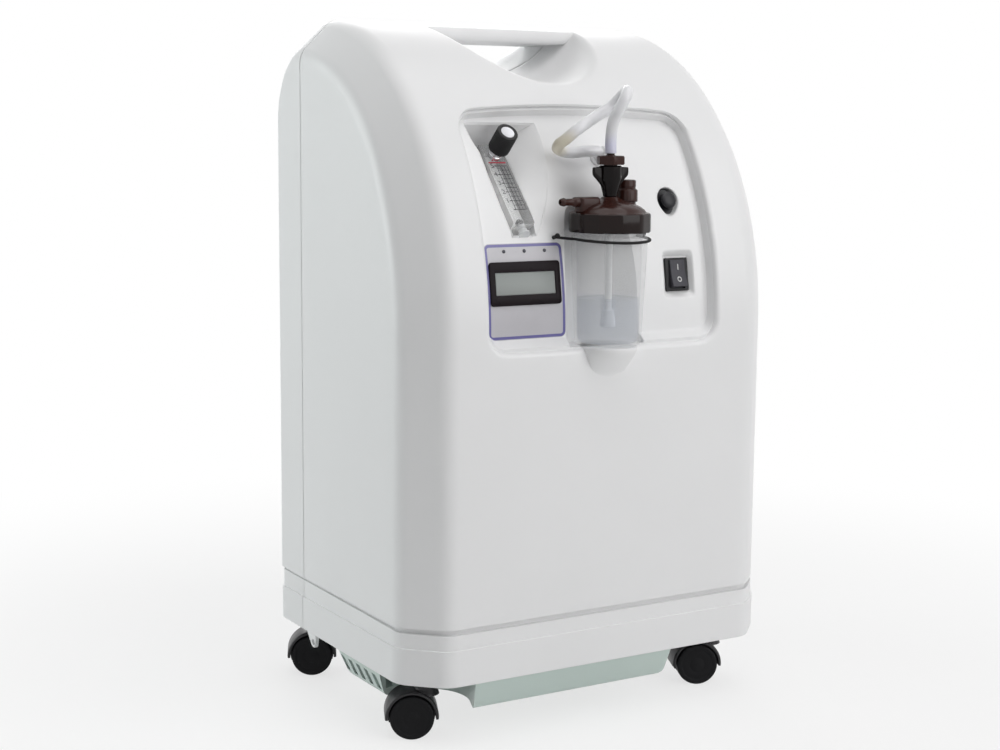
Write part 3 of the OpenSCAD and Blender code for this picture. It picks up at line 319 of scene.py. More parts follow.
def moulded(name, base, roughness=0.38, grain=0.06, spread=0.03, scale=900.0, specular=0.5):
    """Moulded plastic: slow change of tone, uneven gloss and a fine spark-eroded grain"""
    made = Finish(name, base, roughness, specular_ior_level=specular)
    slow = made.noise(9.0, 3.0)
    made.set("Base Color", made.mix(slow.step(0.25, 0.75), shade(base, 1 - spread), shade(base, 1 + spread)))
    patch = made.noise(60.0, 4.0)
    made.set("Roughness", patch.step(0.2, 0.8) * 0.10 + (roughness - 0.05))
    made.bump(made.noise(scale, 2.0), grain, 0.0004)
    return made


def metal(name, base, roughness=0.3, brushed=(400.0, 400.0, 30.0)):
    """Metal with brushed streaks"""
    made = Finish(name, base, roughness, metallic=1.0)
    stretched = made.node("ShaderNodeMapping", {}, made.place(), Scale=brushed)
    streak = made.noise(1.0, 4.0, 0.6, place=stretched)
    made.set("Base Color", made.mix(streak.step(0.3, 0.7), shade(base, 0.88), shade(base, 1.06)))
    made.set("Roughness", streak * 0.2 + (roughness - 0.1))
    made.bump(streak, 0.06, 0.0002)
    return made


def clear(name, base, roughness, alpha):
    """Clear or milky moulding, with faint flow marks"""
    made = Finish(name, base, roughness, alpha=alpha, specular_ior_level=0.4)
    flow = made.noise(26.0, 3.0)
    made.set("Base Color", made.mix(flow.step(0.3, 0.7), shade(base, 0.97), base))
    made.set("Roughness", made.noise(140.0, 3.0) * 0.08 + roughness)
    return made


# Building


def link(name, mesh):
    made = bpy.data.objects.new(name, mesh)
    bpy.context.scene.collection.objects.link(made)
    return made


def finish_piece(name, bm, body, material, replaces=(), smooth=32.0, merge=1e-4, outward=True):
    """Turns a bmesh in millimetres into a piece that rides on a body"""
    bmesh.ops.remove_doubles(bm, verts=bm.verts, dist=merge)
    bmesh.ops.dissolve_degenerate(bm, edges=bm.edges, dist=1e-5)
    if outward:
        bmesh.ops.recalc_face_normals(bm, faces=bm.faces)
    bmesh.ops.scale(bm, vec=(MM, MM, MM), verts=bm.verts)
    mesh = bpy.data.meshes.new(name)
    bm.to_mesh(mesh)
    bm.free()
    for finish in (material if isinstance(material, (list, tuple)) else [material]):
        mesh.materials.append(finish.material)
    mesh.polygons.foreach_set("use_smooth", [True] * len(mesh.polygons))
    mesh.set_sharp_from_angle(angle=math.radians(smooth))
    piece = link(name, mesh)
    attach(piece, body)
    if replaces:
        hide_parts(*replaces)
    return piece


def turns(n):
    """Angles of a full turn in n steps"""
    return [2 * math.pi * k / n for k in range(n)]


def neighbours(items, closed):
    return list(zip(items, items[1:] + items[:1] if closed else items[1:]))


def row_of(bm, points, closed):
    verts = [bm.verts.new(p) for p in points]
    return verts, [bm.edges.new(p) for p in neighbours(verts, closed)]


def loft(bm, rows, closed=True, caps=(False, False)):
    """Extrudes the first row of points through all the others"""
    verts, edges = row_of(bm, rows[0], closed)
    first = edges
    for row in rows[1:]:
        order = {v: i for i, v in enumerate(verts)}
        made = bmesh.ops.extrude_edge_only(bm, edges=edges)["geom"]
        fresh = [None] * len(verts)
        for v in made:
            if isinstance(v, bmesh.types.BMVert):
                for e in v.link_edges:
                    other = e.other_vert(v)
                    if other in order:
                        fresh[order[other]] = v
        for v, p in zip(fresh, row):
            v.co = p
        edges = [bm.edges.get(p) for p in neighbours(fresh, closed)]
        verts = fresh
    for wanted, ring in zip(caps, (first, edges)):
        if wanted:
            bmesh.ops.contextual_create(bm, geom=ring)


def turned(bm, profile, axis, centre, steps):
    """Spins (radius, height) pairs about an axis through centre"""
    axis = Vector(axis).normalized()
    side = axis.orthogonal()
    side = (side - side.dot(axis) * axis).normalized()
    verts, edges = row_of(bm, [Vector(centre) + side * r + axis * h for r, h in profile], False)
    bmesh.ops.spin(bm, geom=verts + edges, cent=centre, axis=axis, angle=2 * math.pi, steps=steps, use_merge=True)
    bmesh.ops.remove_doubles(bm, verts=bm.verts, dist=1e-4)


def box(bm, low, high, matrix=None, bevel=0.0, segments=2):
    """A box from corner to corner, with rounded edges, in a frame"""
    low, high = Vector(low), Vector(high)
    made = bmesh.ops.create_cube(bm, size=1.0)["verts"]
    bmesh.ops.scale(bm, vec=high - low, verts=made)
    bmesh.ops.translate(bm, vec=(low + high) / 2, verts=made)
    if bevel:
        edges = list({e for v in made for e in v.link_edges})
        made = bmesh.ops.bevel(bm, geom=edges, offset=bevel, segments=segments, affect="EDGES", profile=0.5,
                               material=-1)["verts"]
    if matrix:
        bmesh.ops.transform(bm, matrix=matrix, verts=made)


def rounded_outline(x0, x1, z0, z1, r, across=6, up=20, corner=8):
    """Points round a rectangle with round corners, anticlockwise from its lower left"""
    out = []

    def run(a, b, n):
        out.extend((a[0] + (b[0] - a[0]) * k / n, a[1] + (b[1] - a[1]) * k / n) for k in range(n))

    def turn(cx, cz, start):
        angles = [start + k * math.pi / 2 / corner for k in range(corner)]
        out.extend((cx + r * math.cos(a), cz + r * math.sin(a)) for a in angles)

    run((x0 + r, z0), (x1 - r, z0), across)
    turn(x1 - r, z0 + r, -math.pi / 2)
    run((x1, z0 + r), (x1, z1 - r), up)
    turn(x1 - r, z1 - r, 0)
    run((x1 - r, z1), (x0 + r, z1), across)
    turn(x0 + r, z1 - r, math.pi / 2)
    run((x0, z1 - r), (x0, z0 + r), up)
    turn(x0 + r, z0 + r, math.pi)
    return out


def stacked(bm, rows, matrix, counts, caps=(True, True)):
    """Lofts rounded rectangles in a frame; rows are (y, half width, half height, corner)"""
    loft(bm, [[matrix @ Vector((x, y, z)) for x, z in rounded_outline(-w, w, -h, h, r, *counts)]
              for y, w, h, r in rows], caps=caps)


def arc_profile(points, radii, steps=5):
    """A polyline of (a, b) points with its corners rounded; radii are tangent lengths"""
    out = []
    for i, p in enumerate(points):
        t = radii[i] if isinstance(radii, (list, tuple)) else radii
        if i in (0, len(points) - 1) or t <= 0:
            out.append(tuple(p))
            continue
        p = Vector(p)
        a, b = Vector(points[i - 1]) - p, Vector(points[i + 1]) - p
        ta = p + a.normalized() * min(t, a.length * 0.49)
        tb = p + b.normalized() * min(t, b.length * 0.49)
        for u in (k / steps for k in range(steps + 1)):
            q = ta * (1 - u) ** 2 + p * 2 * u * (1 - u) + tb * u ** 2
            out.append((q.x, q.y))
    return out


def outward(matrix):
    """Direction out of a panel frame"""
    return matrix.to_3x3() @ Vector((0, -1, 0))


def thicken(piece):
    """Gives a moulded skin its wall"""
    thick = piece.modifiers.new("wall", "SOLIDIFY")
    thick.thickness = sizes().wall
    thick.offset = -1.0
    even = piece.modifiers.new("normals", "WEIGHTED_NORMAL")
    even.keep_sharp = True
    even.weight = 80


def carve(bm, *cutters):
    """Cuts closed forms out of a closed form"""
    made = []
    for form in (bm, *cutters):
        mesh = bpy.data.meshes.new("carve")
        form.to_mesh(mesh)
        form.free()
        made.append(link("carve", mesh))
    for tool in made[1:]:
        cut = made[0].modifiers.new("cut", "BOOLEAN")
        cut.operation = "DIFFERENCE"
        cut.solver = "EXACT"
        cut.object = tool
    mesh = bpy.data.meshes.new_from_object(made[0].evaluated_get(bpy.context.evaluated_depsgraph_get()))
    out = bmesh.new()
    out.from_mesh(mesh)
    bpy.data.meshes.remove(mesh)
    for piece in made:
        old = piece.data
        bpy.data.objects.remove(piece)
        bpy.data.meshes.remove(old)
    return out


def figures(bm, text, size, matrix, depth):
    """Adds a figure as tall as size, in a frame"""
    curve = bpy.data.curves.new("figure", "FONT")
    curve.body = text
    curve.size = size * 1.4
    curve.extrude = depth / 2
    curve.align_x = "CENTER"
    curve.align_y = "CENTER"
    curve.resolution_u = 3
    holder = link("figure", curve)
    mesh = bpy.data.meshes.new_from_object(holder.evaluated_get(bpy.context.evaluated_depsgraph_get()))
    bpy.data.objects.remove(holder)
    bpy.data.curves.remove(curve)
    mesh.transform(matrix)
    bm.from_mesh(mesh)
    bpy.data.meshes.remove(mesh)


def fill(bm, loops, holes, place, spare=()):
    """Fills from the first outline to the holes; place turns a flat point and its sources into a vertex"""
    coords, edges = [], []
    for loop in loops:
        first, n = len(coords), len(loop)
        coords += [Vector(p) for p in loop]
        edges += [(first + i, first + (i + 1) % n) for i in range(n)]
    coords += [Vector(p) for p in spare]
    points, _, faces, sources, _, _ = delaunay_2d_cdt(coords, edges, [], 0, 1e-4)
    made = [bm.verts.new(place(p, source)) for p, source in zip(points, sources)]
    for f in faces:
        middle = sum((points[i] for i in f), Vector((0, 0))) / len(f)
        if inside(middle, loops[0]) and not any(inside(middle, h) for h in holes):
            bm.faces.new([made[i] for i in f])


def panel_sheet(bm, outline, thick):
    """A thin sheet that follows the panel floor"""
    xs = [p[0] for p in outline]
    zs = [p[1] for p in outline]
    inner = offset_outline(outline, -2.5)
    columns = [min(xs) + (max(xs) - min(xs)) * k / 6 for k in range(7)]
    spare = []
    z = min(zs)
    while z < max(zs):
        spare += [(x, z) for x in columns if inside((x, z), inner)]
        z += 4.0
    fill(bm, [outline], (), lambda p, _: floor_point(p.x, p.y, thick), spare)
    rim = [e for e in bm.edges if e.is_boundary]
    fresh = bmesh.ops.extrude_edge_only(bm, edges=rim)["geom"]
    bmesh.ops.translate(bm, vec=(0, thick + 0.3, 0), verts=[v for v in fresh if isinstance(v, bmesh.types.BMVert)])


def halves(whole, names, finish, smooth):
    """Parts a form at the seam into a front and a rear moulding, given as (piece, node)"""
    for (name, node), side in zip(names, (-1, 1)):
        bm = whole.copy()
        bmesh.ops.bisect_plane(bm, geom=bm.verts[:] + bm.edges[:] + bm.faces[:], dist=1e-4, clear_outer=True,
                               plane_co=(0, SEAM_Y + side * SEAM_GAP / 2, 0), plane_no=(0, -side, 0))
        thicken(finish_piece(name, bm, "cabinet", finish, (node,), smooth=smooth, outward=False))
    whole.free()


def plan_outline():
    """Plan of the cabinet at its foot, anticlockwise"""
    t = sizes().band_round / MM
    corners = [(0, FRONT_Y), (HALF_W - BAND, FRONT_Y), (HALF_W, FRONT_Y + BAND), (HALF_W, REAR_Y - REAR_BAND),
               (HALF_W - BAND, REAR_Y), (0, REAR_Y)]
    half = arc_profile(corners, t, 7)
    return half + [(-x, y) for x, y in reversed(half[1:-1])]


def reach_out(centre, angle, outline):
    """Where a ray from a centre leaves an outline"""
    way = Vector((math.cos(angle), math.sin(angle)))
    best = None
    n = len(outline)
    for i in range(n):
        a, b = Vector(outline[i]) - centre, Vector(outline[(i + 1) % n]) - centre
        side = b - a
        turn = way.x * side.y - way.y * side.x
        if abs(turn) < 1e-9:
            continue
        t = (a.x * side.y - a.y * side.x) / turn
        u = (a.x * way.y - a.y * way.x) / turn
        if t > 1e-6 and -1e-6 <= u <= 1 + 1e-6 and (best is None or t > best):
            best = t
    return centre + way * best


# The cabinet's surface


def front_at(z, inset=0.0):
    """y of the front surface at a height, moved in by inset"""
    if z <= KNEE_Z:
        return FRONT_Y + inset
    if z <= KNEE_Z + (LEAN_R - inset) * math.sin(LEAN_A):
        return LEAN_C[0] - math.sqrt((LEAN_R - inset) ** 2 - (z - LEAN_C[1]) ** 2)
    return TOP_C[0] - math.sqrt(max(0.0, (TOP_R - inset) ** 2 - (z - TOP_C[1]) ** 2))


def floor_point(x, z, out=0.0):
    """Point on the panel floor, raised by out"""
    return Vector((x, front_at(z, PANEL_DEPTH - out), z))


def panel_frame(x, z):
    """Frame on the panel floor: -Y out of the panel, Z up along it"""
    lean = math.asin(min(0.5, max(0.0, z - KNEE_Z) / (LEAN_R - PANEL_DEPTH)))
    return Matrix.Translation(floor_point(x, z)) @ Matrix.Rotation(-lean, 4, "X")


METER_FRAME = Matrix.Translation(METER) @ Matrix.Rotation(-METER_TILT, 4, "X")


def side_samples():
    """Side outline of the cabinet from front foot to rear foot: (y, z), and how the slanted band moves in"""
    out = [(FRONT_Y, z, BAND, 0.0) for z in FOOT_LEVELS]

    def arc(centre, radius, start, end, n):
        for k in range(1, n + 1):
            a = start + (end - start) * k / n
            out.append((centre[0] - radius * math.cos(a), centre[1] + radius * math.sin(a), BAND * math.cos(a),
                        -BAND * math.sin(a)))

    strip = math.asin((STRIP_Z - TOP_C[1]) / TOP_R)
    crest = math.acos((TOP_C[0] - SEAM_Y) / TOP_R)
    arc(LEAN_C, LEAN_R, 0.0, LEAN_A, LEAN_STEPS)
    arc(TOP_C, TOP_R, LEAN_A, strip, STRIP_STEPS)
    arc(TOP_C, TOP_R, strip, crest, TOP_STEPS)
    _, high, dy, dz = out[-1]
    for k in range(1, REAR_TOP_STEPS + 1):
        a = math.pi / 2 * k / REAR_TOP_STEPS
        out.append((SEAM_Y + (REAR_Y - SEAM_Y) * math.sin(a), high - REAR_DROP * (1 - math.cos(a)),
                    dy - (dy + REAR_BAND) * math.sin(a), dz))
    high -= REAR_DROP
    for k in range(1, REAR_STEPS + 1):
        u = k / REAR_STEPS
        out.append((REAR_Y, high + (BASE_TOP - high) * k / REAR_STEPS, -REAR_BAND, -BAND * (1 - u)))
    return out


def top_height(x, y):
    """Height of the top with its hand trough"""
    plain = TOP_C[1] + math.sqrt(TOP_R ** 2 - (min(y, SEAM_Y) - TOP_C[0]) ** 2)
    if y > SEAM_Y:
        plain -= REAR_DROP * (1 - math.sqrt(max(0.0, 1 - ((y - SEAM_Y) / (REAR_Y - SEAM_Y)) ** 2)))
    if abs(x) >= TROUGH_R - 1:
        return plain
    deep = math.sqrt(TROUGH_R ** 2 - x * x) / math.cos(TROUGH_SLOPE)
    trough = TROUGH_AXIS + (y - SEAM_Y) * math.tan(TROUGH_SLOPE) - deep
    at_bar = max(0.0, min(1.0, (BAR_HALF + 2.0 - abs(y - SEAM_Y)) / 5.0))
    k = TROUGH_CRISP + (sizes().trough_round / MM - TROUGH_CRISP) * (1.0 - at_bar)
    h = max(k - abs(plain - trough), 0.0) / k
    return min(plain, trough) - h * h * k / 4


def top_columns():
    """x of the columns of the top, closer together at the trough's rims"""
    half = [0, 8, 16, 24, 32, 40, 47, 53, 58, 62, *range(65, 95, 2), 96, 100, 108, 120, STRIP_X]
    return [-x for x in half[:0:-1]] + half


def sunk_rows():
    """Outlines from the panel's rim down to its floor: (outline, depth)"""
    r = sizes().rim_round / MM
    rows = []
    for grow, w, depth in ((r, 0.0, 0.0), (r * 0.45, 0.0, 0.12 * r), (r * 0.12, 0.0, 0.45 * r), (0.0, 0.02, r),
                           (0.0, 0.35, 4.6), (0.0, 0.75, 8.4), (0.0, 0.97, 11.2), (-0.4, 1.0, 11.8), (-1.2, 1.0, 12.0)):
        a = [p + (q - p) * w for p, q in zip(PANEL, PANEL_FLOOR)]
        corner = PANEL_CORNER + (PANEL_FLOOR_CORNER - PANEL_CORNER) * w + grow
        outline = rounded_outline(a[0] - grow, a[1] + grow, a[2] - grow, a[3] + grow, corner, 18, 34, 10)
        rows.append(([(x, z - PANEL_ARCH * (x / ARCH_HALF) ** 2 * max(0.0, (z - ARCH_FOOT) / ARCH_RISE))
                      for x, z in outline], depth))
    return rows


def offset_outline(points, d):
    """Moves a closed anticlockwise outline outwards by d"""
    out = []
    n = len(points)
    for i in range(n):
        a, p, b = Vector(points[i - 1]), Vector(points[i]), Vector(points[(i + 1) % n])
        t = ((p - a).normalized() + (b - p).normalized())
        t = t.normalized() if t.length > 1e-6 else (b - p).normalized()
        out.append((p.x + t.y * d, p.y - t.x * d))
    return out


def inside(p, outline):
    """Whether a point lies in a closed outline"""
    hit = False
    x, z = p
    n = len(outline)
    for i in range(n):
        (ax, az), (bx, bz) = outline[i], outline[(i + 1) % n]
        if (az > z) != (bz > z) and x < ax + (bx - ax) * (z - az) / (bz - az):
            hit = not hit
    return hit


def along(points, z):
    """x on a line of (x, z) points that rises, at a height"""
    for (xa, za), (xb, zb) in zip(points, points[1:]):
        if z <= zb:
            return xa + (xb - xa) * max(0.0, z - za) / (zb - za)
    return points[-1][0]


FLOW_LEFT = [(-84.0, 431.5), (-92.5, 459.0), (-98.0, 485.0), (-99.8, 500.0), (-100.6, 506.0), (-102.6, 510.0),
             (-104.6, 515.0), (-107.2, 529.0)]
FLOW_RIGHT = [(-63.6, 431.5), (-58.5, 438.6), (-54.0, 446.0), (-49.7, 455.0), (-46.0, 464.5), (-42.6, 474.0),
              (-40.0, 483.5), (-37.9, 495.0), (-36.6, 506.5), (-36.1, 518.0), (-36.2, 529.0)]
FLOW_LEVELS = (434.5, 529.0)


def beside_meter(x, z):
    """Point where the pocket's slope meets the meter on its right, or None elsewhere"""
    if x < 12.0:
        return None
    depth = 1.2
    while depth < 16.0:
        p = METER_FRAME @ Vector((x, depth, z))
        if p.y > front_at(p.z, PANEL_DEPTH) + 0.5:
            break
        depth += 0.2
    return METER_FRAME @ Vector((x, depth, z))


def pocket_outline():
    """Rim of the flow pocket on the panel floor, where each point lies on its seat, and beside the meter"""
    rim, foot = [], []
    n, m = 28, 10
    levels = [FLOW_LEVELS[0] + (FLOW_LEVELS[1] - FLOW_LEVELS[0]) * k / n for k in range(n + 1)]
    (x0, x1), (low, high) = METER_SIDES, METER_ENDS
    left, right = [along(FLOW_LEFT, z) for z in levels], [along(FLOW_RIGHT, z) for z in levels]
    for u in (k / m for k in range(m)):
        rim.append((left[0] + (right[0] - left[0]) * u, levels[0]))
        foot.append((x0 + (x1 - x0) * u, low))
    for k in range(n):
        rim.append((right[k], levels[k]))
        foot.append((x1, low + (high - low) * k / n))
    for u in (k / m for k in range(m)):
        rim.append((right[-1] + (left[-1] - right[-1]) * u, levels[-1]))
        foot.append((x1 - (x1 - x0) * u, high))
    for k in range(n, 0, -1):
        rim.append((left[k], levels[k]))
        foot.append((x0, low + (high - low) * k / n))
    return rim, [METER_FRAME @ Vector((x, METER_SEAT, z)) for x, z in foot], [beside_meter(x, z) for x, z in foot]


def bottle_rows():
    """Rim of the bottle's pocket at each height: (z, half width, depth of the panel there)"""
    out = []
    walls = sunk_rows()
    steps = [(min(z for _, z in outline), depth) for outline, depth in walls]
    levels = [LEDGE_Z] + [z for z, _ in steps if z > LEDGE_Z + 0.3] + [KNEE_Z]
    for z in levels:
        depth = PANEL_DEPTH
        for (za, da), (zb, db) in zip(steps, steps[1:]):
            if za <= z <= zb:
                depth = da + (db - da) * (z - za) / max(1e-6, zb - za)
        if z < steps[0][0]:
            depth = 0.0
        y = front_at(z, depth)
        out.append((z, math.sqrt(POCKET_R ** 2 - (y - BOTTLE_Y) ** 2), depth))
    start = math.asin((FRONT_Y + PANEL_DEPTH - BOTTLE_Y) / POCKET_R)
    n = 18
    for k in range(1, n + 1):
        a = start + (math.pi / 2 - start) * k / n
        y = BOTTLE_Y + POCKET_R * math.sin(a)
        lean = math.acos((LEAN_C[0] - y) / (LEAN_R - PANEL_DEPTH))
        z = LEAN_C[1] + (LEAN_R - PANEL_DEPTH) * math.sin(lean)
        out.append((min(z, ROOF_Z + (z - ROOF_Z) * ROOF_SQUASH), POCKET_R * math.cos(a), PANEL_DEPTH))
    return out


def switch_outline(grow=0.0, sink=0.0):
    """Rim of the switch's well, and its outline further down"""
    x, z = SWITCH
    w, h = 16.3 + grow - 3.2 * sink, 20.4 + grow - 4.6 * sink
    return rounded_outline(x - w, x + w, z - h, z + h, 4.0 + grow - 2.4 * sink, 5, 7, 5)


def breaker_outline(grow=0.0, sink=0.0):
    """A drop shape, drawn out at its foot"""
    x, z = BREAKER
    out = []
    for a in turns(48):
        r = 11.0 + grow - 1.0 * sink + (2.8 - 1.0 * sink) * max(0.0, -math.sin(a)) ** 6
        out.append((x + r * math.cos(a), z + r * math.sin(a)))
    return out


def fill_front(bm, loops, holes, spare):
    """Fills the front between outlines at their depths; loops are (points, depth or depths)"""
    known = [(Vector(p), d) for points, depth in loops
             for p, d in zip(points, depth if isinstance(depth, list) else [depth] * len(points))]
    known += [(Vector(p), d) for p, d in spare]

    def place(p, source):
        if source:
            depth = known[source[0]][1]
        else:
            depth = min((abs(c.y - p.y) + abs(c.x - p.x) * 0.02, d) for c, d in known)[1]
        return (p.x, front_at(p.y, depth), p.y)

    fill(bm, [points for points, _ in loops], holes, place, [p for p, _ in spare])


def foot_row(columns):
    """Every third column along the cabinet's foot, and the last one"""
    row = [(x, BASE_TOP) for x in columns[::3]]
    return row if row[-1][0] >= STRIP_X else row + [(STRIP_X, BASE_TOP)]


def build_front(bm):
    """Front of the cabinet: the sunk panel with its pockets and wells"""
    heights = [z for _, z, _, _ in side_samples()[:len(FOOT_LEVELS) + LEAN_STEPS + STRIP_STEPS]]
    columns = top_columns()
    border = foot_row(columns)
    border += [(STRIP_X, z) for z in heights[1:-1]]
    border += [(x, STRIP_Z) for x in reversed(columns)]
    border += [(-STRIP_X, z) for z in reversed(heights[1:-1])]
    rows = sunk_rows()
    pocket, seat, beside = pocket_outline()
    pocket_out = offset_outline(pocket, RIM_EASE)
    switch_out, breaker_out = switch_outline(RIM_EASE), breaker_outline(RIM_EASE)
    arch = bottle_rows()
    right = [((hw, z), d) for z, hw, d in arch]
    left = [((-hw, z), d) for z, hw, d in reversed(arch[:-1])]
    bottom = [((arch[0][1] * u, LEDGE_Z), arch[0][2]) for u in (-0.6, -0.2, 0.2, 0.6)]
    ring = [p for p, _ in bottom + right + left]
    holes = [ring, pocket_out, switch_out, breaker_out]
    loops = [(border, 0.0), *rows, (ring, [d for _, d in bottom + right + left])]
    loops += [(outline, PANEL_DEPTH) for outline in holes[1:]]
    rim_out, floor_in = offset_outline(rows[0][0], 4.0), offset_outline(rows[-1][0], -3.5)
    kept_off = [offset_outline(h, 3.0) for h in holes]
    spare = []
    x = -STRIP_X + FILL_STEP
    while x < STRIP_X - 5:
        for z in heights[1:-1]:
            p = (x, z + (x % 3) * 0.01)
            if not inside(p, rim_out):
                spare.append((p, 0.0))
            elif inside(p, floor_in) and not any(inside(p, h) for h in kept_off):
                spare.append((p, PANEL_DEPTH))
        x += FILL_STEP
    fill_front(bm, loops, holes, spare)
    # Flow pocket
    pocket_rows = [[floor_point(px, pz) for px, pz in pocket_out]]
    for grow, out in ((0.7, -0.25), (0.15, -0.9)):
        pocket_rows.append([floor_point(px, pz, out) for px, pz in offset_outline(pocket, grow)])
    edge = [floor_point(px, pz) for px, pz in pocket]
    halfway = [m or a.lerp(b, 0.5) for a, b, m in zip(edge, seat, beside)]
    pocket_rows += [[a.lerp(m, w) for a, m in zip(edge, halfway)] for w in (0.1, 0.55, 1.0)]
    pocket_rows += [[m.lerp(b, w) for m, b in zip(halfway, seat)] for w in (0.86, 1.0)]
    loft(bm, pocket_rows, caps=(False, True))
    # Wells of the switch and of the breaker
    for shape, depth in ((switch_outline, 5.0), (breaker_outline, 6.0)):
        wells = [(RIM_EASE, 0.0, 0.0), (0.6, 0.0, -0.25), (0.1, 0.05, -0.8), (0.0, 0.2, -1.4),
                 (0.0, 0.9, -depth + 0.6), (-0.4, 1.0, -depth)]
        loft(bm, [[floor_point(px, pz, out) for px, pz in shape(grow, sink)] for grow, sink, out in wells],
             caps=(False, True))
    # Pocket of the bottle
    around = 28
    wall = []
    for z, hw, depth in arch:
        back = front_at(z, depth) - BOTTLE_Y
        a, r = math.atan2(hw, back), math.hypot(hw, back)
        wall.append([(r * math.sin(t), BOTTLE_Y + r * math.cos(t), z)
                     for t in (-a + 2 * a * k / around for k in range(around + 1))])
    loft(bm, wall, closed=False)
    seat_row = wall[0] + [(p[0], front_at(LEDGE_Z, d), LEDGE_Z) for p, d in reversed(bottom)]
    _, edges = row_of(bm, seat_row, True)
    bmesh.ops.contextual_create(bm, geom=edges)


def build_top(bm):
    """Top with the hand trough, from the front strip to the rear edge"""
    columns = top_columns()
    samples = side_samples()
    start = next(i for i, s in enumerate(samples) if s[1] >= STRIP_Z - 0.01)
    end = next(i for i, s in enumerate(samples) if s[0] >= REAR_Y - 0.01)
    rows = [[(x, y, top_height(x, y)) for x in columns] for y, _, _, _ in samples[start:end + 1]]
    rows[0] = [(x, samples[start][0], STRIP_Z) for x in columns]
    loft(bm, rows, closed=False)
    return rows[-1]


FILTER_HOLE = (-54.0, 54.0, 408.0, 496.0)
INLET_HOLE = (74.6, 105.4, 143.6, 168.4)
VENT_X = (-105.0, -15.0)
VENT_Z = [136 + 12 * k for k in range(9)]


def build_rear(bm, top_row):
    """Rear face with its vents, the filter opening and the inlet opening"""
    heights = [z for y, z, _, _ in side_samples() if y >= REAR_Y - 0.01]
    border = [(x, z) for x, _, z in reversed(top_row)]
    border += [(-STRIP_X, z) for z in heights[1:-1]]
    border += foot_row(top_columns())
    border += [(STRIP_X, z) for z in reversed(heights[1:-1])]
    holes = [rounded_outline(*FILTER_HOLE, 3.0, 4, 4, 4), rounded_outline(*INLET_HOLE, 2.0, 3, 3, 4)]
    holes += [rounded_outline(*VENT_X, z - 2.5, z + 2.5, 2.4, 4, 1, 5) for z in VENT_Z]
    fill(bm, [border, *holes], holes, lambda p, _: (p.x, REAR_Y, p.y))


def build_sides(bm):
    """Slanted bands along the front, top and rear, and the flat sides"""
    t = sizes().band_round / MM
    section = arc_profile([(STRIP_X, 0.0), (HALF_W - BAND, 0.0), (HALF_W, BAND), (HALF_W, BAND + 2 * t)], t, 7)
    for side in (1, -1):
        rows = []
        for y, z, dy, dz in side_samples():
            rows.append([(side * x, y + dy * n / BAND, z + dz * n / BAND) for x, n in section])
        loft(bm, rows, closed=False)
        ring = [r[-1] for r in rows]
        _, edges = row_of(bm, ring, True)
        bmesh.ops.contextual_create(bm, geom=edges)


def build_cabinet():
    bm = bmesh.new()
    build_front(bm)
    last = build_top(bm)
    build_rear(bm, last)
    build_sides(bm)
    bmesh.ops.remove_doubles(bm, verts=bm.verts, dist=0.02)
    bmesh.ops.recalc_face_normals(bm, faces=bm.faces)
    return bm


class CONCENTRATOR_OT_shells(bpy.types.Operator):
    """Build the front and the rear shell of the cabinet"""
    bl_idname = "concentrator.shells"
    bl_label = "Shells"

    def execute(self, context):
        white = moulded("shell_plastic", colours().shell, 0.36, grain=0.05, spread=0.008)
        names = (("shell_front", "front_shell"), ("shell_rear", "rear_shell"))
        halves(build_cabinet(), names, white, 34)
        return {"FINISHED"}


class CONCENTRATOR_OT_hose(bpy.types.Operator):
    """Lay the oxygen hose from the bottle over to the outlet"""
    bl_idname = "concentrator.hose"
    bl_label = "Oxygen Hose"

    def execute(self, context):
        base = colours().hose
        silicone = Finish("hose_milky", base, 0.32, subsurface_weight=0.35, subsurface_radius=(0.004, 0.004, 0.004),
                          subsurface_scale=1.0, coat_weight=0.25, coat_roughness=0.2)
        x, y, z = silicone.axes()
        near = 1.0 - (z - (HOSE_START + 5) * MM).step(0.0, 0.016) - (y - BOTTLE_Y * MM).absolute().step(0.010, 0.018)
        near = near.largest(0.0)  # the end on the barb, which is bluish
        bend = ((x + 0.038) * (x + 0.038) + (z - 0.509) * (z - 0.509)).root()
        aged = 1.0 - bend.step(0.006, 0.020)
        tone = silicone.mix(silicone.noise(60.0, 3.0).step(0.3, 0.7), shade(base, 0.97), shade(base, 1.02))
        tone = silicone.mix(near * 0.75, tone, (0.66, 0.66, 0.84))
        tone = silicone.mix(aged * 0.7, tone, (0.84, 0.76, 0.55))
        silicone.set("Base Color", tone)
        silicone.set("Roughness", silicone.noise(220.0, 2.0) * 0.16 + 0.24)
        silicone.bump(silicone.noise(350.0, 2.0), 0.05, 0.0003)
        curve = bpy.data.curves.new("hose_run", "CURVE")
        curve.dimensions = "3D"
        curve.bevel_depth = sizes().hose_d / 2
        curve.bevel_resolution = 6
        curve.resolution_u = 12
        curve.use_fill_caps = True
        curve.materials.append(silicone.material)
        spline = curve.splines.new("BEZIER")
        spline.bezier_points.add(len(HOSE) - 1)
        for point, (px, py, pz) in zip(spline.bezier_points, HOSE):
            point.co = (px * MM, (BOTTLE_Y + py) * MM, (HOSE_START + pz) * MM)
            point.handle_left_type = point.handle_right_type = "AUTO"
        piece = link("hose_run", curve)
        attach(piece, "cabinet")
        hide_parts("oxygen_hose")
        return {"FINISHED"}


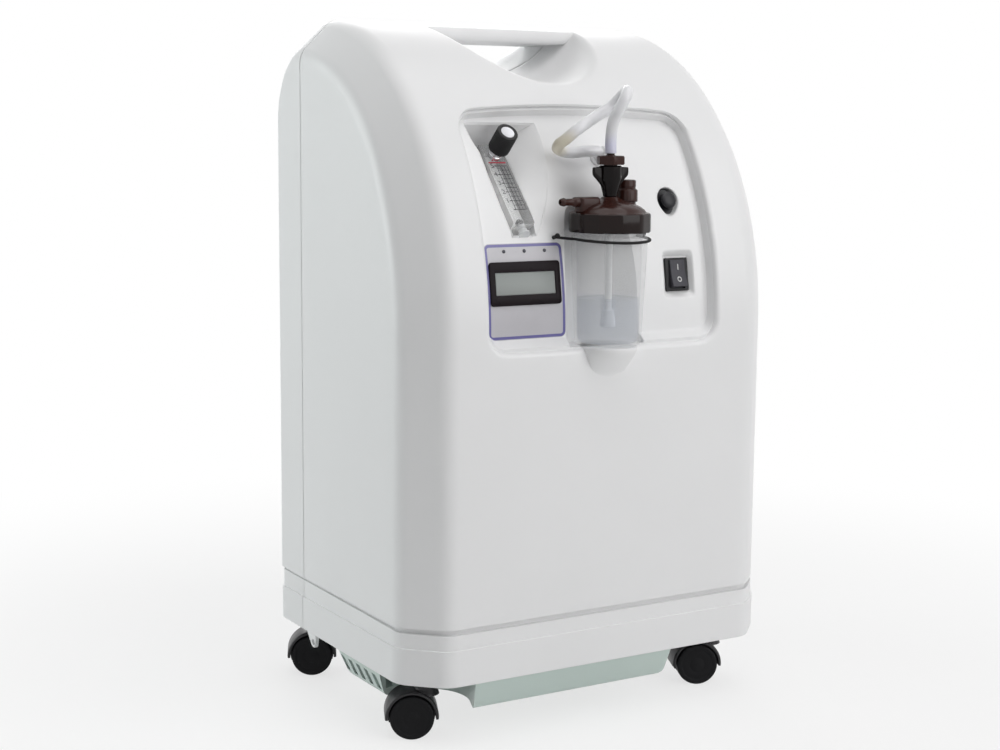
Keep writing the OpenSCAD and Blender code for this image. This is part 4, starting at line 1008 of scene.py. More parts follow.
class CONCENTRATOR_OT_jar(bpy.types.Operator):
    """Turn the humidifier jar and its water"""
    bl_idname = "concentrator.jar"
    bl_label = "Humidifier Jar"

    def execute(self, context):
        frosted = clear("jar_moulding", (0.93, 0.935, 0.94), 0.12, 0.24)
        water = clear("water_still", colours().water, 0.04, 0.22)
        centre = (0, BOTTLE_Y, JAR_Z)
        wall = [(0, 1.2), (21.5, 1.1), (23, 0.2), (25.6, 0.2), (27.6, 1.2), (28.7, 3.0), (29.1, 6.0), (30.4, 30),
                (31.9, 60), (33.1, 86), (JAR_R, 91.6), (33.3, 93.2), (32.3, 94.6), (31.0, 95.4), (30.5, 96.4),
                (30.5, 100.4), (30.1, 101), (28.9, 101), (28.5, 100.4), (28.5, 93), (27.9, 60), (27.4, 30), (27.0, 8),
                (26.0, 4.4), (24.0, 2.6), (0, 2.4)]
        bm = bmesh.new()
        turned(bm, wall, (0, 0, 1), centre, 96)
        jar = finish_piece("jar_body", bm, "jar", frosted, ("humidifier_jar",), smooth=40)
        jar.visible_shadow = False
        bm = bmesh.new()
        turned(bm, [(0, 2.8), (23.6, 2.9), (25.4, 4.6), (26.6, 8.2), (27.0, 30), (27.25, 40.2), (27.35, 41.0),
                    (26.9, 40.55), (26.0, 40.3), (7.4, 40.3), (6.9, 40.6), (6.8, 40.2), (6.8, 15.7), (0, 15.7)],
               (0, 0, 1), centre, 96)
        fluid = finish_piece("jar_water", bm, "jar", water, ("humidifier_water",), smooth=40)
        fluid.visible_shadow = False
        return {"FINISHED"}


class CONCENTRATOR_OT_lid(bpy.types.Operator):
    """Shape the bottle's lid with its spigot and its relief valve"""
    bl_idname = "concentrator.lid"
    bl_label = "Bottle Lid"

    def execute(self, context):
        brown = moulded("lid_brown", colours().brown, 0.17, grain=0.02, spread=0.10, specular=0.2)
        _, _, z = brown.axes()
        # painted shade and light: below the rim line the lid is coloured much darker, and above it lighter, standing in
        # for the shade on the upright skirt and the light on the dome
        rim, dome = shade(colours().brown, 0.28), shade(colours().brown, 1.15)
        brown.set("Base Color", brown.mix((z - LID_RIM_Z * MM).step(0.0, 0.0016), rim, dome))
        bm = bmesh.new()
        rows = [(442.6, 4.0, 0), (442.6, 28.4, 0), (441.9, 30.9, 0), (437.8, 31.0, 0), (437.4, 31.4, 0.3),
                (437.4, 34.7, 1), (437.9, 35.3, 1), (439.0, 35.6, 1), (452.0, 35.6, 1), (453.2, 35.2, 1),
                (454.0, 34.3, 0.9), (454.2, 33.2, 0.6), (454.1, 32.2, 0.2), (454.6, 31.3, 0), (456.6, 29.9, 0),
                (459.0, 26.8, 0), (461.2, 22.2, 0), (462.9, 17.0, 0), (464.2, 12.6, 0), (465.4, 9.6, 0),
                (466.4, 8.0, 0), (467.1, 7.2, 0), (467.4, 6.6, 0)]
        loft(bm, [[self.rim(a, z, r, w) for a in turns(144)] for z, r, w in rows], caps=(True, True))
        box(bm, (SPIGOT_X, BOTTLE_Y - 6.5, 453.4), (SPIGOT_X + 20, BOTTLE_Y + 6.5, 467.7), bevel=3.0, segments=4)
        turned(bm, [(0, -1), (4.3, -1), (4.3, 3.0), (3.9, 4.2), (3.2, 5.4), (3.0, 6.4), (3.0, 12.6), (3.7, 14.2),
                    (3.6, 14.9), (3.0, 17.2), (2.5, 17.9), (1.6, 18), (1.5, 17.4), (1.5, 8), (0, 8)], (-1, 0, 0),
               (SPIGOT_X, BOTTLE_Y, 463.4), 40)
        turned(bm, [(0, -2), (9.4, -2), (8.8, 3.5), (8.2, 6.5), (8.0, 9.3), (0, 9.3)], (0, 0, 1),
               (RELIEF[0], BOTTLE_Y + RELIEF[1], 454.4), 48)
        finish_piece("lid_cap", bm, "cabinet", brown, ("humidifier_lid",), smooth=28)
        bm = bmesh.new()
        valve = [(0.0, 7.4, 0), (0.0, 8.1, 0), (0.5, 8.6, 1), (9.6, 8.6, 1), (10.4, 8.2, 0.3), (10.9, 7.6, 0),
                 (11.6, 6.9, 0), (12.8, 6.9, 0), (13.2, 7.2, 0), (17.8, 7.1, 0), (18.6, 6.7, 0), (19.0, 5.9, 0),
                 (18.9, 4.6, 0), (18.4, 4.2, 0), (18.4, 0.4, 0)]
        loft(bm, [[self.ribbed(a, z, r, w) for a in turns(120)] for z, r, w in valve], caps=(True, True))
        finish_piece("relief_cap", bm, "cabinet", brown, ("relief_valve",), smooth=35)
        return {"FINISHED"}

    def rim(self, a, z, r, flat):
        """Point on a rim with twelve soft flats"""
        step = math.pi / 6
        off = (a + step / 2) % step - step / 2
        flat_r = r * math.cos(step / 2) / math.cos(off) + 0.55
        r = r + (min(flat_r, r) - r) * flat
        return (r * math.cos(a), BOTTLE_Y + r * math.sin(a), z)

    def ribbed(self, a, z, r, depth):
        """Point on the relief valve's cap with its twenty ribs"""
        r = r * 1.14 - depth * 0.15 * (0.5 + 0.5 * math.cos(20 * a)) ** 3
        x, y, foot = RELIEF
        return (x + r * math.cos(a), BOTTLE_Y + y + r * math.sin(a), foot + z)


class CONCENTRATOR_OT_inlet(bpy.types.Operator):
    """Shape the wing coupling, the hex adapter and the dip tube"""
    bl_idname = "concentrator.inlet"
    bl_label = "Bottle Inlet"

    def execute(self, context):
        near_black = moulded("coupling_dark", (0.006, 0.004, 0.004), 0.2, grain=0.02, spread=0.12, specular=0.14)
        brown = moulded("adapter_brown", colours().brown, 0.28, grain=0.03, spread=0.10, specular=0.18)
        white = Finish("dip_white", (0.86, 0.87, 0.88), 0.35, transmission_weight=0.25, ior=1.2)
        white.set("Roughness", white.noise(150.0, 3.0) * 0.25 + 0.25)
        white.bump(white.noise(700.0, 2.0), 0.1, 0.0003)
        bm = bmesh.new()
        cone = [(5.6, 0.0), (6.1, 0.5), (6.3, 2.0), (7.2, 5.5), (8.6, 10.5), (9.6, 13.6), (9.9, 15.0), (9.9, 25.4),
                (9.4, 26.2), (8.6, 26.5), (6.4, 26.5), (6.3, 25.0)]
        loft(bm, [[self.eight(a, COUPLING_Z + h, r) for a in turns(48)] for r, h in cone], caps=(True, True))
        wing = arc_profile([(5.6, 3.0), (9.5, 10.0), (17.6, 18.2), (18.0, 21.5), (17.8, 25.0), (9.0, 25.4), (0, 25.4),
                            (0, 3.0)], [0, 2.0, 1.2, 0, 0.9, 0, 0, 0], 3)
        for side in (1, -1):
            rows = [[(side * x, BOTTLE_Y + t, COUPLING_Z + h) for x, h in self.shrink(wing, inset)]
                    for t, inset in ((-1.7, 0.7), (-1.5, 0.25), (-1.0, 0.0), (1.0, 0.0), (1.5, 0.25), (1.7, 0.7))]
            loft(bm, rows, caps=(True, True))
        finish_piece("wing_nut", bm, "coupling", near_black, ("wing_coupling",), smooth=30)
        bm = bmesh.new()
        angles = [math.radians(60 * k + ADAPTER_TURN) + u * math.pi / 3
                  for k in range(6) for u in (0.0, 0.08, 0.3, 0.5, 0.7, 0.92)]
        rows = [(0.3, 10.6), (0.3, 11.4), (1.2, 12.5), (6.9, 12.5), (7.9, 11.5), (8.0, 10.4), (8.0, 4.2)]
        loft(bm, [[self.hex_point(a, ADAPTER_Z + h, r) for a in angles] for h, r in rows], caps=(True, True))
        for profile in ([(0, 7.6), (4.4, 7.6), (4.2, 8.4), (3.4, 8.8), (3.3, 11.4), (2.4, 12.0), (0, 12)],
                        [(0, -8.5), (5.9, -8.5), (5.9, 0.6), (0, 0.6)]):
            turned(bm, profile, (0, 0, 1), (0, BOTTLE_Y, ADAPTER_Z), 40)
        finish_piece("hex_adapter", bm, "cabinet", brown, ("inlet_adapter",), smooth=30)
        bm = bmesh.new()
        turned(bm, [(0, 355.4), (5.7, 355.4), (6.4, 355.9), (6.5, 357.2), (6.0, 363.0), (5.2, 367.4), (5.1, 369.2),
                    (4.3, 369.9), (3.7, 371.5), (3.1, 373.0), (3.0, 376.0), (3.0, 442.4), (0, 442.4)], (0, 0, 1),
               (0, BOTTLE_Y, 0), 40)
        finish_piece("dip_pipe", bm, "cabinet", white, ("dip_tube",), smooth=35)
        return {"FINISHED"}

    def eight(self, a, z, r):
        """Point on a round form that is faintly eight-sided"""
        step = math.pi / 4
        off = (a + step / 2) % step - step / 2
        r = r * (0.5 + 0.5 * math.cos(step / 2) / math.cos(off) + 0.02)
        return (r * math.cos(a), BOTTLE_Y + r * math.sin(a), z)

    def shrink(self, outline, inset):
        """Moves a wing's outline towards its middle"""
        middle = Vector((5.0, 15.5))
        return [tuple(Vector(p) + (middle - Vector(p)).normalized() * inset) for p in outline]

    def hex_point(self, a, z, r):
        """Point on the hexagon, no further out than r"""
        step = math.pi / 3
        off = (a - math.radians(ADAPTER_TURN)) % step - step / 2
        r = min(r, ADAPTER_R * math.cos(step / 2) / math.cos(off))
        return (r * math.cos(a), BOTTLE_Y + r * math.sin(a), z)


class CONCENTRATOR_OT_strap(bpy.types.Operator):
    """Run the elastic strap round the jar to its two pegs"""
    bl_idname = "concentrator.strap"
    bl_label = "Jar Strap"

    def execute(self, context):
        rubber = moulded("strap_rubber", (0.010, 0.010, 0.010), 0.62, grain=0.25, spread=0.15, scale=1400.0,
                         specular=0.2)
        z = STRAP_Z
        reach = JAR_R + 0.2 + STRAP_R
        leg_y = floor_point(0, z).y - 3.0
        path = [(-40.9, leg_y)]
        angles = [math.pi * k / 48 for k in range(49)]
        path += [(-reach * math.cos(a), BOTTLE_Y - reach * math.sin(a)) for a in angles]
        path += [(40.9, leg_y)]
        path = [(px, py, z - STRAP_SAG * max(0.0, min(1.0, (leg_y - py) / (leg_y - BOTTLE_Y + reach))) ** 1.5)
                for px, py in path]
        rows = []
        for i, p in enumerate(path):
            p = Vector(p)
            a = Vector(path[max(0, i - 1)])
            b = Vector(path[min(len(path) - 1, i + 1)])
            along = (b - a).normalized()
            across = along.cross(Vector((0, 0, 1)))
            ends = [(0.0, STRAP_R), (0.9, 1.1), (1.5, STRAP_R * 0.55)]
            if i == 0:
                ends = [(-push, r) for push, r in reversed(ends)]
            elif i < len(path) - 1:
                ends = ends[:1]
            for push, r in ends:
                rows.append([p + along * push + (across * math.cos(t) + Vector((0, 0, 1)) * math.sin(t)) * r
                             for t in turns(14)])
        bm = bmesh.new()
        loft(bm, rows, caps=(True, True))
        finish_piece("strap_cord", bm, "cabinet", rubber, ("jar_strap",), smooth=50)
        bm = bmesh.new()
        for x in (-45.0, 45.0):
            m = panel_frame(x, z)
            turned(bm, [(0, -7), (1.7, -7), (1.7, 5.0), (2.0, 5.4), (2.4, 6.1), (2.45, 6.8), (2.1, 7.5), (1.2, 8.0),
                        (0, 8.2)], outward(m), m.translation, 28)
        finish_piece("strap_studs", bm, "cabinet", rubber, ("strap_pegs",), smooth=40)
        return {"FINISHED"}


class CONCENTRATOR_OT_flowmeter(bpy.types.Operator):
    """Build the clear flowmeter with its scale, float, bonnet and knob"""
    bl_idname = "concentrator.flowmeter"
    bl_label = "Flowmeter"

    def execute(self, context):
        self.block()
        self.scale()
        self.valve()
        return {"FINISHED"}

    def block(self):
        acrylic = clear("acrylic_block", (0.93, 0.945, 0.95), 0.04, 0.15)
        white = moulded("meter_backing", (0.86, 0.86, 0.86), 0.5, grain=0.1, spread=0.02)
        x, y, z = acrylic.axes()
        # painted shade: the block's two long sides, its lower end and a band across its top are coloured dark grey and
        # made more opaque, with a noisy strength, standing in for the dark look of the clear block's edges
        edge = (x - (METER.x + 0.65) * MM).absolute().step(0.0101, 0.0108)
        low = (y - METER.y * MM) * math.sin(METER_TILT) + (z - METER.z * MM) * math.cos(METER_TILT)
        edge = edge.largest((1.0 - low.step(-0.0865, -0.0850)) * 0.6).largest(low.step(0.0030, 0.0036) * 0.8)
        edge_shade = edge * (acrylic.noise(120.0, 3.0) * 0.5 + 0.6)
        acrylic.set("Base Color", acrylic.mix(edge_shade, (0.93, 0.945, 0.95), (0.34, 0.335, 0.33)))
        acrylic.set("Alpha", edge * 0.42 + 0.15)
        bm = bmesh.new()
        rows = []
        for h, ix, iy in ((-88, 6.5, 1.6), (-87.4, 4.2, 0.8), (-86.0, 2.0, 0.2), (-84.4, 0.6, 0.0), (-82.8, 0.0, 0.0),
                          (2.8, 0.0, 0.0), (3.6, 0.3, 0.3), (4.0, 1.1, 1.1)):
            rows.append([METER_FRAME @ Vector((px, py, h))
                         for px, py in rounded_outline(-10.5 + ix, 11.8 - ix, iy, 16 - iy, 1.5, 4, 4, 4)])
        loft(bm, rows, caps=(True, True))
        bmesh.ops.recalc_face_normals(bm, faces=bm.faces)
        outer = set(bm.faces)
        axis = METER_FRAME.to_3x3() @ Vector((0, 0, 1))
        turned(bm, [(0, -84.2), (3.9, -84.2), (4.0, -83), (4.0, -19.2), (3.2, -18.2), (0, -18)], axis,
               METER_FRAME @ Vector((0, METER_BORE_Y, 0)), 32)
        bore = [f for f in bm.faces if f not in outer]
        bmesh.ops.recalc_face_normals(bm, faces=bore)
        bmesh.ops.reverse_faces(bm, faces=bore)
        seen = set(bm.faces)
        box(bm, (-9.4, 13.6, -81.0), (10.7, 14.2, -13.0), METER_FRAME)
        for f in bm.faces:
            f.material_index = 0 if f in seen else 1
        piece = finish_piece("flow_body", bm, "cabinet", (acrylic, white), ("flowmeter_block",),
                             smooth=30, outward=False)
        piece.visible_shadow = False
        black = moulded("float_black", (0.01, 0.01, 0.012), 0.2, grain=0.02, specular=0.3)
        bm = bmesh.new()
        ball = [(FLOAT_R * math.sin(a), -FLOAT_R * math.cos(a)) for a in (math.pi * k / 24 for k in range(25))]
        ball[12] = (FLOAT_R - 0.12, 0.0)  # a line round its middle
        turned(bm, ball, axis, METER_FRAME @ Vector((0, METER_BORE_Y, FLOAT_Z)), 40)
        finish_piece("float_bead", bm, "float", black, ("float_ball",), smooth=50)

    def scale(self):
        finishes = []
        for name, base in (("scale_ink", (0.03, 0.03, 0.035)), ("scale_red", (0.55, 0.04, 0.07))):
            made = Finish(name, base, 0.5)
            made.set("Roughness", made.noise(300.0) * 0.2 + 0.4)
            finishes.append(made)
        bm = bmesh.new()

        def bar(x0, x1, z0, z1):
            box(bm, (x0, -0.10, z0), (x1, -0.01, z1), METER_FRAME)

        for k in range(SCALE_LINES):
            z = SCALE_Z + SCALE_STEP * k
            bar(-2.0, 8.6, z - 0.28, z + 0.28)
            if k % 2 == 0:
                bar(-4.2, -2.0, z - 0.42, z + 0.42)
        for x in (-2.0, 2.2, 5.4, 8.6):
            bar(x - 0.25, x + 0.25, SCALE_Z, SCALE_Z + SCALE_STEP * (SCALE_LINES - 1))
        for k in range(1, 6):
            place = Matrix.Translation((-6.3, -0.06, SCALE_Z + 2 * SCALE_STEP * k))
            figures(bm, str(k), 5.0, METER_FRAME @ place @ UPRIGHT, 0.08)
        dark = set(bm.faces)
        bar(-8.4, 8.6, -18.0, -16.6)
        bar(-4.4, -1.6, -15.6, -14.2)
        for f in bm.faces:
            f.material_index = 0 if f in dark else 1
        piece = finish_piece("flow_scale", bm, "cabinet", finishes, smooth=30, merge=1e-6,
                             outward=False)
        piece.visible_shadow = False

    def valve(self):
        black = moulded("knob_black", colours().black, 0.42, grain=0.12, spread=0.15, specular=0.25)
        silver = Finish("cap_satin", (0.74, 0.74, 0.77), 0.3, metallic=0.25, specular_ior_level=0.3)
        ring = silver.noise(900.0, 2.0)
        silver.set("Roughness", ring * 0.25 + 0.22)
        silver.bump(ring, 0.05, 0.0002)
        steel = metal("bonnet_plated", (0.72, 0.72, 0.74), 0.2)
        m = METER_FRAME @ Matrix.Translation((0, 0, KNOB_Z))
        out = outward(m)
        side = m.to_3x3() @ Vector((1, 0, 0))
        up = m.to_3x3() @ Vector((0, 0, 1))

        def fluted(a, h, r, depth):
            r -= 0.35 * depth * (0.5 + 0.5 * math.cos(48 * a))
            return m.translation + out * h + (side * math.cos(a) + up * math.sin(a)) * r

        bm = bmesh.new()
        rows = [(11.4, 2.2, 0), (11.4, 7.0, 0), (9.9, 7.3, 0), (9.6, 7.7, 0), (9.6, 8.8, 0), (9.9, 9.3, 0),
                (10.8, 9.6, 0.2), (11.8, 9.6, 1), (28.6, 9.6, 1), (29.4, 9.6, 0.2), (30.2, 9.55, 0), (30.9, 9.3, 0),
                (31.3, 8.8, 0), (31.4, 8.0, 0), (31.4, 6.6, 0), (31.2, 6.35, 0), (30.4, 6.3, 0), (30.4, 0.5, 0)]
        loft(bm, [[fluted(a, *row) for a in turns(192)] for row in rows], caps=(True, True))
        turned(bm, [(0, 3.2), (1.9, 3.2), (1.9, 11.6), (0, 11.6)], out, m.translation, 24)
        finish_piece("knob_grip", bm, "knob", black, ("flow_knob",), smooth=40)
        bm = bmesh.new()
        turned(bm, [(0, 30.5), (6.1, 30.5), (6.1, 30.9), (5.8, 31.15), (5.2, 31.1), (4.9, 30.95), (0, 31.15)], out,
               m.translation, 64)
        finish_piece("knob_disc", bm, "knob", silver, ("knob_cap",), smooth=30)
        bm = bmesh.new()
        turned(bm, [(0, 0), (6.0, 0), (6.0, 3.4), (5.4, 3.9), (5.4, 4.6), (6.0, 5.1), (6.0, 9.8), (5.2, 10.8),
                    (2.1, 11.0), (2.1, 1.6), (0, 1.6)], out, m.translation, 48)
        finish_piece("bonnet_nut", bm, "cabinet", steel, ("valve_bonnet",), smooth=30)


class CONCENTRATOR_OT_display(bpy.types.Operator):
    """Lay the control label with its display and lamps on the panel"""
    bl_idname = "concentrator.display"
    bl_label = "Display"

    def execute(self, context):
        self.label()
        m = panel_frame(*LCD)
        gloss = moulded("display_bezel", (0.013, 0.009, 0.011), 0.3, grain=0.02, spread=0.12, specular=0.07)
        bm = bmesh.new()
        stacked(bm, [(0.0, 35.0, 18.6, 3.0), (-1.3, 35.0, 18.6, 3.0), (-1.65, 34.85, 18.45, 2.85),
                     (-1.8, 34.5, 18.1, 2.5), (-1.8, 30.2, 10.2, 1.2), (-1.7, 29.8, 9.8, 0.8), (-1.0, 29.6, 9.6, 0.6)],
                m, (6, 4, 5), (False, False))
        finish_piece("lcd_bezel", bm, "cabinet", gloss, ("lcd_frame",), smooth=35)
        glass = Finish("lcd_pane", (0.33, 0.355, 0.345), 0.22, specular_ior_level=0.2)
        _, _, z = glass.axes()
        # painted shade: the pane is coloured darker towards its top
        top_shade = (z - (LCD[1] - 9) * MM).step(0.0, 0.020)
        glass.set("Base Color", glass.mix(top_shade, (0.36, 0.38, 0.37), (0.30, 0.325, 0.315)))
        glass.set("Roughness", glass.noise(90.0, 3.0) * 0.15 + 0.15)
        bm = bmesh.new()
        stacked(bm, [(6.0, 29.4, 9.4, 0.4), (-1.0, 29.4, 9.4, 0.4), (-1.2, 29.1, 9.1, 0.4)], m, (4, 3, 2))
        finish_piece("lcd_window", bm, "cabinet", glass, ("lcd_display",), smooth=30)
        lens = moulded("lamp_smoked", (0.035, 0.035, 0.05), 0.16, grain=0.02, spread=0.2)
        bm = bmesh.new()
        for k in (-1, 0, 1):
            m = panel_frame(LAMPS[0] + LAMP_STEP * k, LAMPS[1])
            turned(bm, [(0, -5), (1.6, -5), (1.6, 0.5), (1.45, 0.8), (1.0, 1.1), (0, 1.25)], outward(m),
                   m.translation, 24)
        finish_piece("lamp_lenses", bm, "cabinet", lens, ("indicator_lamps",), smooth=50)
        return {"FINISHED"}

    def label(self):
        (x0, x1, z0, z1), r = LABEL, LABEL_CORNER
        ground, line = colours().label, colours().label_border
        film = Finish("label_film", ground, 0.3, coat_weight=0.3, coat_roughness=0.2)
        x, _, z = film.axes()
        dx = ((x - (x0 + x1) / 2 * MM).absolute() - ((x1 - x0) / 2 - r) * MM).largest(0.0)
        dz = ((z - (z0 + z1) / 2 * MM).absolute() - ((z1 - z0) / 2 - r) * MM).largest(0.0)
        edge = (dx * dx + dz * dz).root()
        border = edge.step((r - 2.95) * MM, (r - 2.75) * MM) * (1.0 - edge.step((r - 0.5) * MM, (r - 0.35) * MM))
        tone = film.mix(film.noise(40.0, 3.0).step(0.3, 0.7), shade(ground, 0.98), shade(ground, 1.02))
        film.set("Base Color", film.mix(border, tone, line))
        film.set("Roughness", film.noise(500.0, 2.0) * 0.2 + 0.22)
        film.bump(film.noise(1800.0, 2.0), 0.06, 0.0002)
        bm = bmesh.new()
        panel_sheet(bm, rounded_outline(*LABEL, r, 8, 24, 8), 0.4)
        finish_piece("label_sheet", bm, "cabinet", film, ("control_label",), smooth=30, outward=False)


class CONCENTRATOR_OT_switches(bpy.types.Operator):
    """Fit the power switch and the breaker in their wells"""
    bl_idname = "concentrator.switches"
    bl_label = "Switches"

    def execute(self, context):
        dark = moulded("switch_body", (0.010, 0.010, 0.012), 0.4, grain=0.1, spread=0.12, specular=0.25)
        face = moulded("rocker_face", (0.042, 0.041, 0.050), 0.45, grain=0.14, spread=0.10, specular=0.3)
        print_white = moulded("switch_marks", (0.62, 0.62, 0.62), 0.5, grain=0.05, spread=0.05)
        gloss = moulded("button_gloss", (0.010, 0.010, 0.013), 0.34, grain=0.04, spread=0.12, specular=0.3)
        m = panel_frame(*SWITCH)
        bm = bmesh.new()
        stacked(bm, [(5.0, 12.4, 14.9, 1.0), (3.4, 12.4, 14.9, 1.0), (3.05, 12.1, 14.6, 0.8), (3.0, 11.7, 14.2, 0.6),
                     (3.0, 8.4, 12.9, 0.5), (3.3, 8.2, 12.7, 0.4), (13.5, 8.2, 12.7, 0.4)], m, (4, 4, 3), (False, True))
        stacked(bm, [(5.2, 10.4, 13.4, 0.8), (24.0, 10.4, 13.4, 0.8), (26.5, 9.5, 12.4, 0.8)], m, (4, 4, 3))
        finish_piece("switch_case", bm, "cabinet", dark, ("switch_housing",), smooth=30)
        half = ROCKER_HALF
        turn = m @ Matrix.Translation((0, ROCKER_AXIS, 0)) @ Matrix.Rotation(ROCKER_TURN, 4, "X")
        outline = [(-7.5, -half), (-6.0, 0.0), (-7.5, half), (0.0, half), (2.2, half / 2), (2.2, -half / 2),
                   (0.0, -half)]
        outline = arc_profile(outline + outline[:1], [0, 9.0, 0.7, 1.0, 1.0, 1.0, 1.0, 0], 5)[:-1]
        bm = bmesh.new()
        rows = []
        for x, inset in ((-8.0, 0.7), (-7.8, 0.25), (-7.3, 0.0), (7.3, 0.0), (7.8, 0.25), (8.0, 0.7)):
            rows.append([turn @ Vector((x, y + (-2.5 - y) / 5.0 * inset * 0.9, z * (1 - inset * 0.05)))
                         for y, z in outline])
        loft(bm, rows, caps=(True, True))
        turned(bm, [(0, -9.2), (1.45, -9.2), (1.45, 9.2), (0, 9.2)], m.to_3x3() @ Vector((1, 0, 0)),
               turn.translation, 20)
        finish_piece("rocker_paddle", bm, "rocker_switch", face, ("rocker",), smooth=30)
        bm = bmesh.new()
        tilt = math.atan2(1.5, half)
        upper, lower = (turn @ Matrix.Translation((0, -6.86, end * 5.6)) @ Matrix.Rotation(end * tilt, 4, "X")
                        for end in (1, -1))
        box(bm, (-0.5, -0.12, -2.6), (0.5, 0.1, 2.6), upper, bevel=0.1, segments=1)
        rows = []
        for y, r in ((0.1, 1.55), (-0.12, 1.62), (-0.12, 2.45), (0.1, 2.52)):
            rows.append([lower @ Vector((r * 0.92 * math.cos(a), y, r * math.sin(a))) for a in turns(32)])
        loft(bm, rows)
        finish_piece("rocker_marks", bm, "rocker_switch", print_white, smooth=30)
        m = panel_frame(*BREAKER)
        bm = bmesh.new()
        plate = [(5.95, -1.3), (4.2, -1.3), (3.9, -1.6), (3.8, -2.2), (4.2, -3.2), (4.4, -7.4)]
        loft(bm, [[floor_point(px, pz, -depth) for px, pz in breaker_outline(grow)] for depth, grow in plate],
             caps=(True, True))
        turned(bm, [(0, -40), (7.0, -40), (7.0, -5.9), (0, -5.9)], outward(m), m.translation, 32)
        finish_piece("breaker_bezel", bm, "cabinet", gloss, ("breaker_body",), smooth=35)
        bm = bmesh.new()
        turned(bm, [(0, -13), (4.9, -13), (4.9, -0.9), (7.0, -0.8), (7.6, -0.2), (7.7, 0.8), (7.4, 1.8), (6.5, 2.6),
                    (4.6, 3.3), (2.2, 3.7), (0, 3.8)], outward(m), m.translation, 64)
        finish_piece("reset_dome", bm, "reset_push", gloss, ("reset_button",), smooth=45)
        return {"FINISHED"}


class CONCENTRATOR_OT_outlet(bpy.types.Operator):
    """Fit the outlet elbow behind the bottle"""
    bl_idname = "concentrator.outlet"
    bl_label = "Outlet"

    def execute(self, context):
        pale = moulded("outlet_pale", (0.80, 0.80, 0.81), 0.35, grain=0.03, spread=0.02)
        m = panel_frame(*OUTLET)
        out = outward(m)
        bm = bmesh.new()
        turned(bm, [(0, -12), (4.9, -12), (4.9, 0.0), (8.0, 0.0), (8.0, 1.3), (7.4, 2.0), (5.4, 2.1), (5.0, 2.8),
                    (5.0, OUTLET_REACH), (4.6, 16.8), (3.6, 18.4), (2.0, 19.4), (0, 19.8)], out, m.translation, 40)
        turned(bm, [(0, 0), (4.4, 0), (4.4, 4.2), (3.6, 5.0), (3.2, 5.4), (3.2, 13.4), (2.6, 14), (0, 14)], (-1, 0, 0),
               m.translation + out * OUTLET_REACH, 32)
        finish_piece("outlet_barb", bm, "cabinet", pale, ("outlet_elbow",), smooth=35)
        return {"FINISHED"}


class CONCENTRATOR_OT_base(bpy.types.Operator):
    """Build the base below the shells, with its ridge, its groove and its lug"""
    bl_idname = "concentrator.base"
    bl_label = "Base"

    def execute(self, context):
        white = moulded("base_plastic", colours().shell, 0.36, grain=0.05, spread=0.008)
        whole = bmesh.new()
        rows = [(BASE_TOP, -4.6, 0, -1), (BASE_TOP, -1.7, 0, -1.6), (104.6, -1.7, -3, -1.6), (104.3, -1.4, -3, -1.5),
                (104.2, -0.6, -3, 0), (103.9, -0.1, -3, 0), (103.4, 0.0, -3, 0), (88.6, 0.0, 0, 0), (88.1, 0.1, 0, 0),
                (88.0, 0.3, 0, 0), (88.0, 1.15, 0, 0), (87.85, 1.4, 0, 0), (87.5, 1.5, 0, 0), (58.2, 1.5, 0, 0),
                (57.0, 1.25, 0, 0), (56.3, 0.6, 0, 0), (BASE_Z, -0.5, 0, 0)]
        plan = plan_outline()
        near = [min(1.0, max(0.0, (FRONT_Y + BAND + GROOVE_RUN - y) / GROOVE_RUN)) for _, y in plan]
        near = [w * w * (3 - 2 * w) for w in near]
        deeper = list(zip(offset_outline(plan, 0.0), offset_outline(plan, -1.0)))
        loft(whole, [[(px + (px - qx) * (out + inner * w), py + (py - qy) * (out + inner * w), z + lower * w)
                      for ((px, py), (qx, qy)), w in zip(deeper, near)] for z, out, lower, inner in rows])
        w, d = AIR_HALF
        hole = rounded_outline(-w, w, AIR_Y - d, AIR_Y + d, 2.0, 6, 6, 3)
        fill(whole, [offset_outline(plan, -0.5), hole], [hole], lambda p, _: (p.x, p.y, BASE_Z))
        loft(whole, [[(x, y, z) for x, y in hole] for z in (BASE_Z, BASE_Z + 2.5)])
        bmesh.ops.remove_doubles(whole, verts=whole.verts, dist=0.01)
        bmesh.ops.recalc_face_normals(whole, faces=whole.faces)
        names = (("base_skirt_front", "base_front"), ("base_skirt_rear", "base_rear"))
        halves(whole, names, white, 30)
        self.lug(white)
        return {"FINISHED"}

    def lug(self, white):
        bm = bmesh.new()
        eye = Vector((79.2, 47.0))
        shape = arc_profile([(80, 57), (73.6, 57.5), (74.2, 47), (76, 42.5), (79.2, 41.9), (82.5, 42.6), (84.6, 45),
                             (94.0, 56), (94.0, 57.5), (80, 57)], [0, 0, 2.4, 1.6, 1.6, 1.6, 3.0, 0.4, 0, 0], 4)
        angles = turns(40)
        outer = [reach_out(eye, a, shape) for a in angles]
        rows = []
        for x, grow, hole in ((-188.6, 0, 2.75), (-189.0, 0, 3.1), (-189.0, -0.45, None), (-188.55, 0, None),
                              (-185.9, 0, None), (-185.5, -0.4, None), (-185.5, 0, 3.1), (-185.9, 0, 2.75)):
            if hole:
                rows.append([(x, eye.x + hole * math.cos(a), eye.y + hole * math.sin(a)) for a in angles])
            else:
                rows.append([(x, *(p + (p - eye).normalized() * grow)) for p in outer])
        rows.append(rows[0])
        loft(bm, rows)
        finish_piece("lug_eye", bm, "cabinet", white, smooth=35)


